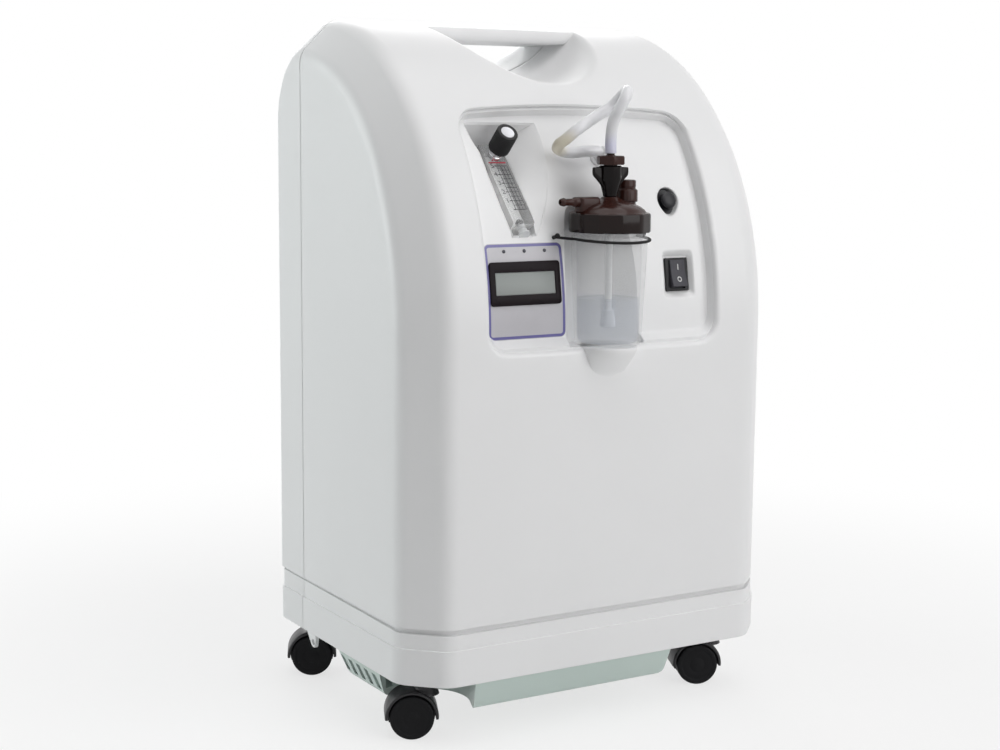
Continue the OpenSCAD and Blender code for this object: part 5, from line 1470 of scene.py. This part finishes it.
class CONCENTRATOR_OT_tray(bpy.types.Operator):
    """Build the vented tray below the base"""
    bl_idname = "concentrator.tray"
    bl_label = "Under-Tray"

    def execute(self, context):
        green = moulded("tray_plastic", colours().tray, 0.42, grain=0.10, spread=0.02)
        hollow = carve(self.form(2.5, 62.0), self.bay(42.0))
        slots = bmesh.new()
        for k in range(5):
            y = 23.6 - 15.5 * k
            box(slots, (-217, y - 3.75, 34.5), (-165, y + 3.75, 49.5), bevel=0.8, segments=2)
        bm = carve(self.form(0.0, BASE_Z), hollow, self.bay(39.5), slots)
        piece = finish_piece("tray_vented", bm, "cabinet", green, ("under_tray",), smooth=30, merge=1e-3,
                             outward=False)
        soft = piece.modifiers.new("soft", "BEVEL")
        soft.width = 0.0005
        soft.segments = 2
        soft.limit_method = "ANGLE"
        soft.angle_limit = math.radians(50)
        return {"FINISHED"}

    def form(self, inset, top):
        """The tray's outer form, moved in by inset"""
        rows = []
        low = TRAY_LOW + inset
        x0, x1, y0, y1 = TRAY
        for z, more in ((top, 0.0), (55.9, 0.0), (low + 5.5, 0.0), (low + 2.6, 0.7), (low + 1.0, 2.0), (low + 0.2, 3.8),
                        (low, 5.6)):
            taper = TRAY_TAPER * (BASE_Z - min(z, BASE_Z)) / (BASE_Z - TRAY_LOW)
            o = inset + more
            outline = rounded_outline(x0 + taper + o, x1 - o, y0 + taper + o, y1 - o, max(1.5, 6.0 - inset), 6, 6, 5)
            rows.append([(x, y, z) for x, y in outline])
        return self.solid(rows)

    def bay(self, r):
        """Room for the front left caster to swivel, open to the front"""
        turn = Matrix.Translation((*CASTERS["fl"], 0)) @ Matrix.Rotation(math.radians(-22), 4, "Z")
        outline = [(r * math.cos(a), r * math.sin(a)) for a in (math.pi * k / 48 for k in range(49))]
        outline += [(-r, -160), (r, -160)]
        return self.solid([[turn @ Vector((x, y, z)) for x, y in outline] for z in (10.0, 90.0)])

    def solid(self, rows):
        bm = bmesh.new()
        loft(bm, rows, caps=(True, True))
        bmesh.ops.recalc_face_normals(bm, faces=bm.faces)
        return bm


class CONCENTRATOR_OT_casters(bpy.types.Operator):
    """Build the four twin-wheel casters"""
    bl_idname = "concentrator.casters"
    bl_label = "Casters"

    def execute(self, context):
        hood = moulded("hood_plastic", (0.024, 0.023, 0.025), 0.36, grain=0.14, spread=0.14, scale=1200.0,
                       specular=0.3)
        tyre = moulded("wheel_plastic", (0.006, 0.006, 0.007), 0.55, grain=0.16, spread=0.2, scale=1200.0,
                       specular=0.15)
        for key, (x, y) in CASTERS.items():
            at = Matrix.Translation((x, y, 0)) @ Matrix.Rotation(CASTER_TURN, 4, "Z")
            self.hood(key, at, hood)
            self.wheels(key, at, tyre)
        return {"FINISHED"}

    def hood(self, key, at, finish):
        bm = bmesh.new()
        section = [(-14.65, 20.9), (-14.65, 21.8), (-14.3, 22.6), (-13.5, 23.2), (-12.2, 23.5), (12.2, 23.5),
                   (13.5, 23.2), (14.3, 22.6), (14.65, 21.8), (14.65, 20.9)]

        def point(a, t, r):
            return at @ Vector((CASTER_TRAIL + r * math.cos(a), t, WHEEL_Z + r * math.sin(a)))

        angles = [math.radians(-4.5 + 189 * k / 40) for k in range(41)]
        loft(bm, [[point(a, t, r) for t, r in section] for a in angles], caps=(True, True))
        angles = [math.radians(-20 + 220 * k / 30) for k in range(31)]
        loft(bm, [[point(a, t, 20.9) for a in angles] for t in (-3.0, 3.0)], caps=(True, True))
        turned(bm, [(0, 37.5), (12.4, 37.5), (11.6, 40.0), (10.2, 42.0), (9.3, 44.4), (9.0, 47.5), (9.0, 52.2),
                    (8.5, 52.8), (0, 52.8)], (0, 0, 1), at.translation, 40)
        finish_piece("hood_" + key, bm, "caster_" + key, finish, ("caster_hood_" + key,), smooth=38)

    def wheels(self, key, at, finish):
        profile = [(0, 3.4), (17.8, 3.4), (18.9, 3.8), (19.35, 4.8), (WHEEL_Z, 6.2), (WHEEL_Z, 12.6), (19.35, 13.9),
                   (18.9, 14.8), (18.1, 15.25), (17.0, 15.4), (15.4, 15.35), (14.9, 15.1), (14.4, 14.95), (13.6, 15.0),
                   (7.6, 15.2), (7.2, 15.05), (6.8, 15.05), (6.4, 15.25), (0, 15.4)]
        axis = at.to_3x3() @ Vector((0, 1, 0))
        hub = at @ Vector((CASTER_TRAIL, 0, WHEEL_Z))
        bm = bmesh.new()
        for side in (1, -1):
            turned(bm, profile, axis * side, hub, 72)
        turned(bm, [(0, -3.6), (2.9, -3.6), (2.9, 3.6), (0, 3.6)], axis, hub, 24)
        finish_piece("wheels_twin_" + key, bm, "wheels_" + key, finish, ("wheel_set_" + key,),
                     smooth=35)


class CONCENTRATOR_OT_handle(bpy.types.Operator):
    """Add the carrying bar over the hand trough and the corbel below the jar"""
    bl_idname = "concentrator.handle"
    bl_label = "Handle and Corbel"

    def execute(self, context):
        white = moulded("bar_plastic", colours().shell, 0.36, grain=0.05, spread=0.008)
        for name, y0, y1, over, under in (
                ("bar_front", SEAM_Y - BAR_HALF, SEAM_Y - SEAM_GAP / 2, (3.0, 0.5), (6.0, 0.5)),
                ("bar_rear", SEAM_Y + SEAM_GAP / 2, SEAM_Y + BAR_HALF, (0.5, 3.0), (0.5, 6.0))):
            n = 10
            top = [(y, top_height(HALF_W, y)) for y in (y0 + (y1 - y0) * k / n for k in range(n + 1))]
            outline = [(y0, BAR_UNDER), *top, (y1, BAR_UNDER), (y0, BAR_UNDER)]
            shape = arc_profile(outline, [0, over[0], *[0] * (n - 1), over[1], under[1], 0], 5)
            first = arc_profile([(y1, BAR_UNDER), (y0, BAR_UNDER), top[0]], [0, under[0], 0], 5)
            shape = first[1:-1] + shape[1:-1]
            half = ((0, 0.0), (40, 0.0), (78, 0.0), (81.6, 0.12), (84.5, 1.0), (88, 2.4))
            bm = bmesh.new()
            loft(bm, [[(x, y, z - (sink if z > BAR_SHOULDER else 0)) for y, z in shape]
                      for x, sink in [(-x, sink) for x, sink in half[:0:-1]] + list(half)], caps=(True, True))
            finish_piece(name, bm, "cabinet", white, smooth=32)
        bm = bmesh.new()
        rows = [self.disc(LEDGE_Z, 24.6), self.disc(LEDGE_Z - 0.1, 25.6), self.disc(LEDGE_Z - 0.7, CORBEL_R)]
        n = 24
        for t in (k / n for k in range(n + 1)):
            wide = (CORBEL_R - 9.2 * t ** 1.2) / CORBEL_R
            out = (4.0 - 0.4 * t + 22.2 * (0.5 + 0.5 * math.cos(math.pi * t ** 0.92))) / CORBEL_R
            rows.append([(x * wide, BOTTLE_Y + (y - BOTTLE_Y) * (out if y < BOTTLE_Y else 0.12), LEDGE_Z - 2 - 27 * t)
                         for x, y, _ in self.disc(0, CORBEL_R)])
        loft(bm, rows, caps=(True, True))
        finish_piece("jar_corbel", bm, "cabinet", white, smooth=50)
        return {"FINISHED"}

    def disc(self, z, r):
        return [(r * math.cos(a), BOTTLE_Y + r * math.sin(a), z) for a in turns(72)]


class CONCENTRATOR_OT_rear(bpy.types.Operator):
    """Fit the filter cover and the mains inlet at the rear"""
    bl_idname = "concentrator.rear"
    bl_label = "Rear Fittings"

    def execute(self, context):
        grey = moulded("cover_plastic", (0.60, 0.61, 0.62), 0.4, grain=0.10, spread=0.02)
        black = moulded("socket_plastic", colours().black, 0.4, grain=0.12, spread=0.15)
        brass = metal("pin_brass", (0.80, 0.72, 0.52), 0.3)
        bm = bmesh.new()
        stacked(bm, [(148.2, 51.0, 41.0, 3.0), (155.75, 51.0, 41.0, 3.0), (155.75, 62.0, 52.0, 5.0),
                     (158.4, 62.0, 52.0, 5.0), (159.2, 61.6, 51.6, 4.6), (159.6, 60.6, 50.6, 3.6),
                     (159.6, 57.0, 47.0, 2.0), (159.1, 56.4, 46.4, 2.0), (158.9, 55.4, 45.4, 2.0)],
                Matrix.Translation((0, 0, COVER_Z)), (6, 6, 5))
        bmesh.ops.recalc_face_normals(bm, faces=bm.faces)
        slots = bmesh.new()
        for k in range(6):
            stacked(slots, [(y, 44, 2.5, 2.4) for y in (140.0, 165.0)],
                    Matrix.Translation((0, 0, COVER_Z + 13 * (k - 2.5))), (4, 1, 4))
        bmesh.ops.recalc_face_normals(slots, faces=slots.faces)
        bm = carve(bm, slots)
        finish_piece("cover_vented", bm, "intake_cover", grey, ("filter_cover",), smooth=30, merge=1e-3,
                     outward=False)
        bm = bmesh.new()
        at = Matrix.Translation((INLET[0], 0, INLET[1]))
        stacked(bm, [(155.7, 21, 15, 3), (157.1, 21, 15, 3), (157.5, 20.7, 14.7, 2.7), (157.6, 20.2, 14.2, 2.2),
                     (157.6, 12.3, 8.3, 2.3), (157.3, 12.0, 8.0, 2.0), (140.8, 12.0, 8.0, 2.0)], at, (4, 4, 4),
                (False, True))
        stacked(bm, [(155.7, 14.6, 11.6, 2), (139.0, 14.6, 11.6, 2), (138.2, 13.8, 10.8, 2)], at, (4, 4, 4),
                (False, True))
        finish_piece("inlet_socket", bm, "cabinet", black, ("power_inlet",), smooth=30)
        bm = bmesh.new()
        for x, z in ((83.0, 157.5), (90.0, 154.0), (97.0, 157.5)):
            box(bm, (x - 1, 140.6, z - 2), (x + 1, 153.0, z + 2), bevel=0.5, segments=2)
        finish_piece("inlet_pins", bm, "cabinet", brass, smooth=35)
        return {"FINISHED"}


class CONCENTRATOR_OT_works(bpy.types.Operator):
    """Give the works inside the cabinet their finishes"""
    bl_idname = "concentrator.works"
    bl_label = "Inner Works"

    def execute(self, context):
        zinc = metal("zinc_plate", (0.66, 0.66, 0.65), 0.35)
        sheet = self.spangled()
        iron = self.laminated()
        coil = metal("copper_tube", (0.78, 0.42, 0.27), 0.28)
        alloy = metal("drawn_alloy", (0.74, 0.75, 0.76), 0.32, (60.0, 60.0, 900.0))
        cast = self.cast()
        steel = metal("ground_shaft", (0.60, 0.60, 0.61), 0.2)
        brass = metal("turned_brass", (0.77, 0.60, 0.31), 0.28)
        rubber = moulded("mount_rubber_black", (0.018, 0.018, 0.018), 0.7, grain=0.3, spread=0.1)
        enamel = moulded("motor_enamel", (0.22, 0.23, 0.25), 0.45, grain=0.2, spread=0.06, scale=500.0)
        fan = moulded("fan_plastic", (0.02, 0.02, 0.021), 0.45, grain=0.12, spread=0.15)
        intake = moulded("intake_plastic", (0.55, 0.56, 0.57), 0.45, grain=0.12, spread=0.03)
        gasket = moulded("gasket_rubber", (0.42, 0.42, 0.42), 0.6, grain=0.2, spread=0.06)
        plug = clear("acrylic_plug", (0.90, 0.92, 0.93), 0.06, 0.45)
        finishes = {
            "chassis_plate": sheet, "equipment_deck": sheet, "caster_stems": zinc, "control_board": self.board(),
            "flowmeter_plug": plug, "flowmeter_fittings": zinc, "lid_gasket": gasket, "compressor_motor": enamel,
            "crankcases": cast, "compressor_heads": cast, "spring_mounts": rubber, "fan_frame": fan,
            "heat_exchanger": coil, "sieve_beds": alloy, "product_tank": alloy, "valve_manifold": cast,
            "pressure_regulator": brass, "transformer": iron, "intake_box": intake, "drive_shaft": steel,
        }
        for name, node in frame["nodes"].items():
            finish = finishes.get(name) or (fan if node.get("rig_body") == "fan" else None)
            if finish:
                for slot in node.material_slots:
                    slot.material = finish.material
        return {"FINISHED"}

    def spangled(self):
        made = Finish("galvanised_sheet", (0.62, 0.63, 0.65), 0.4, metallic=0.9)
        flake = made.node("ShaderNodeTexVoronoi", {}, Vector=made.place(), Scale=140.0, out=1)
        tone = made.node("ShaderNodeSeparateColor", {}, flake)
        made.set("Base Color", made.mix(tone, (0.56, 0.57, 0.59), (0.68, 0.69, 0.71)))
        made.set("Roughness", tone * 0.22 + 0.3)
        made.bump(made.noise(300.0, 3.0), 0.05, 0.0003)
        return made

    def cast(self):
        made = Finish("cast_alloy_skin", (0.58, 0.58, 0.58), 0.5, metallic=0.85)
        pits = made.noise(420.0, 4.0, 0.65)
        made.set("Base Color", made.mix(pits.step(0.3, 0.7), (0.50, 0.50, 0.51), (0.63, 0.63, 0.64)))
        made.set("Roughness", pits * 0.3 + 0.36)
        made.bump(pits, 0.25, 0.0006)
        return made

    def laminated(self):
        made = Finish("laminated_iron", (0.16, 0.15, 0.15), 0.5, metallic=0.7)
        wave = made.node("ShaderNodeTexWave", {"wave_type": "BANDS", "bands_direction": "X"}, Vector=made.place(),
                         Scale=330.0)
        made.set("Base Color", made.mix(wave, (0.11, 0.10, 0.10), (0.21, 0.20, 0.20)))
        made.set("Roughness", made.noise(90.0, 3.0) * 0.3 + 0.35)
        made.bump(wave, 0.15, 0.0004)
        return made

    def board(self):
        made = Finish("solder_mask", (0.03, 0.20, 0.09), 0.35, coat_weight=0.2)
        track = made.node("ShaderNodeTexBrick", {"offset": 0.35}, Vector=made.place(), Scale=180.0, out=1)
        made.set("Base Color", made.mix(track, (0.03, 0.20, 0.09), (0.05, 0.28, 0.13)))
        made.set("Roughness", made.noise(200.0, 2.0) * 0.2 + 0.28)
        made.bump(track, 0.1, 0.0002)
        return made


class CONCENTRATOR_OT_stage(bpy.types.Operator):
    """Place the floor, the lights and the camera"""
    bl_idname = "concentrator.stage"
    bl_label = "Stage"

    def execute(self, context):
        scene = context.scene
        scene.view_settings.view_transform = "Standard"
        self.camera(scene)
        self.lights(scene)
        self.floor()
        return {"FINISHED"}

    def camera(self, scene):
        yaw, pitch, roll = VIEW_TURN
        forward = Vector((math.sin(yaw) * math.cos(pitch), math.cos(yaw) * math.cos(pitch), -math.sin(pitch)))
        right = Vector((math.cos(yaw), -math.sin(yaw), 0))
        up = right.cross(forward)
        right, up = (right * math.cos(roll) + up * math.sin(roll), up * math.cos(roll) - right * math.sin(roll))
        data = bpy.data.cameras.new("view")
        data.sensor_width = 36.0
        data.lens = VIEW_LENS
        data.clip_start = 0.05
        data.clip_end = 50
        camera = bpy.data.objects.new("view", data)
        scene.collection.objects.link(camera)
        turn = Matrix((right, up, -forward)).transposed().to_4x4()
        camera.matrix_world = Matrix.Translation(VIEW_AT) @ turn
        scene.camera = camera

    def lights(self, scene):
        world = bpy.data.worlds.new("studio")
        world.use_nodes = True
        tree = world.node_tree
        soft, plain = tree.nodes["Background"], tree.nodes.new("ShaderNodeBackground")
        for shader, strength in ((soft, 0.07), (plain, 1.0)):
            shader.inputs["Color"].default_value = (1.0, 1.0, 1.0, 1.0)
            shader.inputs["Strength"].default_value = strength
        mix_shaders(tree, seen_rays(tree), soft, plain, "World Output")
        scene.world = world
        target = Vector((0, 0, 0.33))
        for name, place, size, power, tint in (
                ("key", (1.05, -2.35, 1.6), 2.4, 40.0, (1.0, 1.0, 1.0)),
                ("side", (-2.0, 1.6, 0.9), 1.6, 27.0, (0.94, 1.0, 0.99)),
                ("top", (0.0, -0.4, 2.5), 2.2, 23.0, (1.0, 1.0, 1.0)),
                ("rear", (0.9, 2.2, 1.4), 1.5, 14.0, (1.0, 1.0, 1.0))):
            data = bpy.data.lights.new(name, "AREA")
            data.size = size
            data.energy = power
            data.color = tint
            lamp = bpy.data.objects.new(name, data)
            lamp.location = place
            lamp.rotation_euler = (target - Vector(place)).to_track_quat("-Z", "Y").to_euler()
            scene.collection.objects.link(lamp)

    def floor(self):
        bm = bmesh.new()
        bmesh.ops.create_grid(bm, x_segments=2, y_segments=2, size=6.0)
        mesh = bpy.data.meshes.new("floor")
        bm.to_mesh(mesh)
        bm.free()
        floor = link("floor", mesh)
        made = Finish("floor_paper", (0.90, 0.90, 0.90), 0.9)
        fleck = made.noise(40.0, 3.0)
        made.set("Base Color", made.mix(fleck, (0.89, 0.89, 0.89), (0.91, 0.91, 0.91)))
        x, y, _ = made.axes()
        far = (x * x + y * y).root().step(0.35, 1.1) * 0.3 + 0.7
        glow = made.tree.nodes.new("ShaderNodeEmission")
        glow.inputs["Strength"].default_value = 1.0
        seen = Value(made, seen_rays(made.tree)) * far
        mix_shaders(made.tree, seen.socket, made.shader, glow, "Material Output")
        mesh.materials.append(made.material)


def seen_rays(tree):
    """1 on rays that show the surroundings: straight, mirrored or through glass"""
    path = tree.nodes.new("ShaderNodeLightPath")
    total = path.outputs["Is Camera Ray"]
    for ray in ("Is Glossy Ray", "Is Transmission Ray"):
        larger = tree.nodes.new("ShaderNodeMath")
        larger.operation = "MAXIMUM"
        tree.links.new(total, larger.inputs[0])
        tree.links.new(path.outputs[ray], larger.inputs[1])
        total = larger.outputs[0]
    return total


def mix_shaders(tree, factor, first, second, output):
    """Sends a mix of two shaders to an output"""
    mix = tree.nodes.new("ShaderNodeMixShader")
    for i, socket in enumerate((factor, first.outputs[0], second.outputs[0])):
        tree.links.new(socket, mix.inputs[i])
    tree.links.new(mix.outputs[0], tree.nodes[output].inputs["Surface"])


class CONCENTRATOR_PT_panel(bpy.types.Panel):
    """Lists the pieces of the concentrator"""
    bl_idname = "CONCENTRATOR_PT_panel"
    bl_label = "Oxygen Concentrator"
    bl_space_type = "VIEW_3D"
    bl_region_type = "UI"
    bl_category = "Concentrator"

    def draw(self, context):
        for operator in OPERATORS:
            self.layout.operator(operator.bl_idname)
        for group in (context.scene.concentrator_sizes, context.scene.concentrator_colours):
            for name in group.__annotations__:
                self.layout.prop(group, name)


OPERATORS = (
    CONCENTRATOR_OT_stage,
    CONCENTRATOR_OT_hose,
    CONCENTRATOR_OT_shells,
    CONCENTRATOR_OT_handle,
    CONCENTRATOR_OT_base,
    CONCENTRATOR_OT_tray,
    CONCENTRATOR_OT_casters,
    CONCENTRATOR_OT_jar,
    CONCENTRATOR_OT_lid,
    CONCENTRATOR_OT_inlet,
    CONCENTRATOR_OT_strap,
    CONCENTRATOR_OT_flowmeter,
    CONCENTRATOR_OT_display,
    CONCENTRATOR_OT_switches,
    CONCENTRATOR_OT_outlet,
    CONCENTRATOR_OT_rear,
    CONCENTRATOR_OT_works,
)
CLASSES = (ConcentratorColours, ConcentratorSizes, *OPERATORS, CONCENTRATOR_PT_panel)


def register():
    for made in CLASSES:
        bpy.utils.register_class(made)
    bpy.types.Scene.concentrator_colours = bpy.props.PointerProperty(type=ConcentratorColours)
    bpy.types.Scene.concentrator_sizes = bpy.props.PointerProperty(type=ConcentratorSizes)


def unregister():
    del bpy.types.Scene.concentrator_sizes
    del bpy.types.Scene.concentrator_colours
    for made in reversed(CLASSES):
        bpy.utils.unregister_class(made)


def main():
    register()
    for operator in OPERATORS:
        group, name = operator.bl_idname.split(".")
        getattr(getattr(bpy.ops, group), name)()


if __name__ == "__main__":
    main()
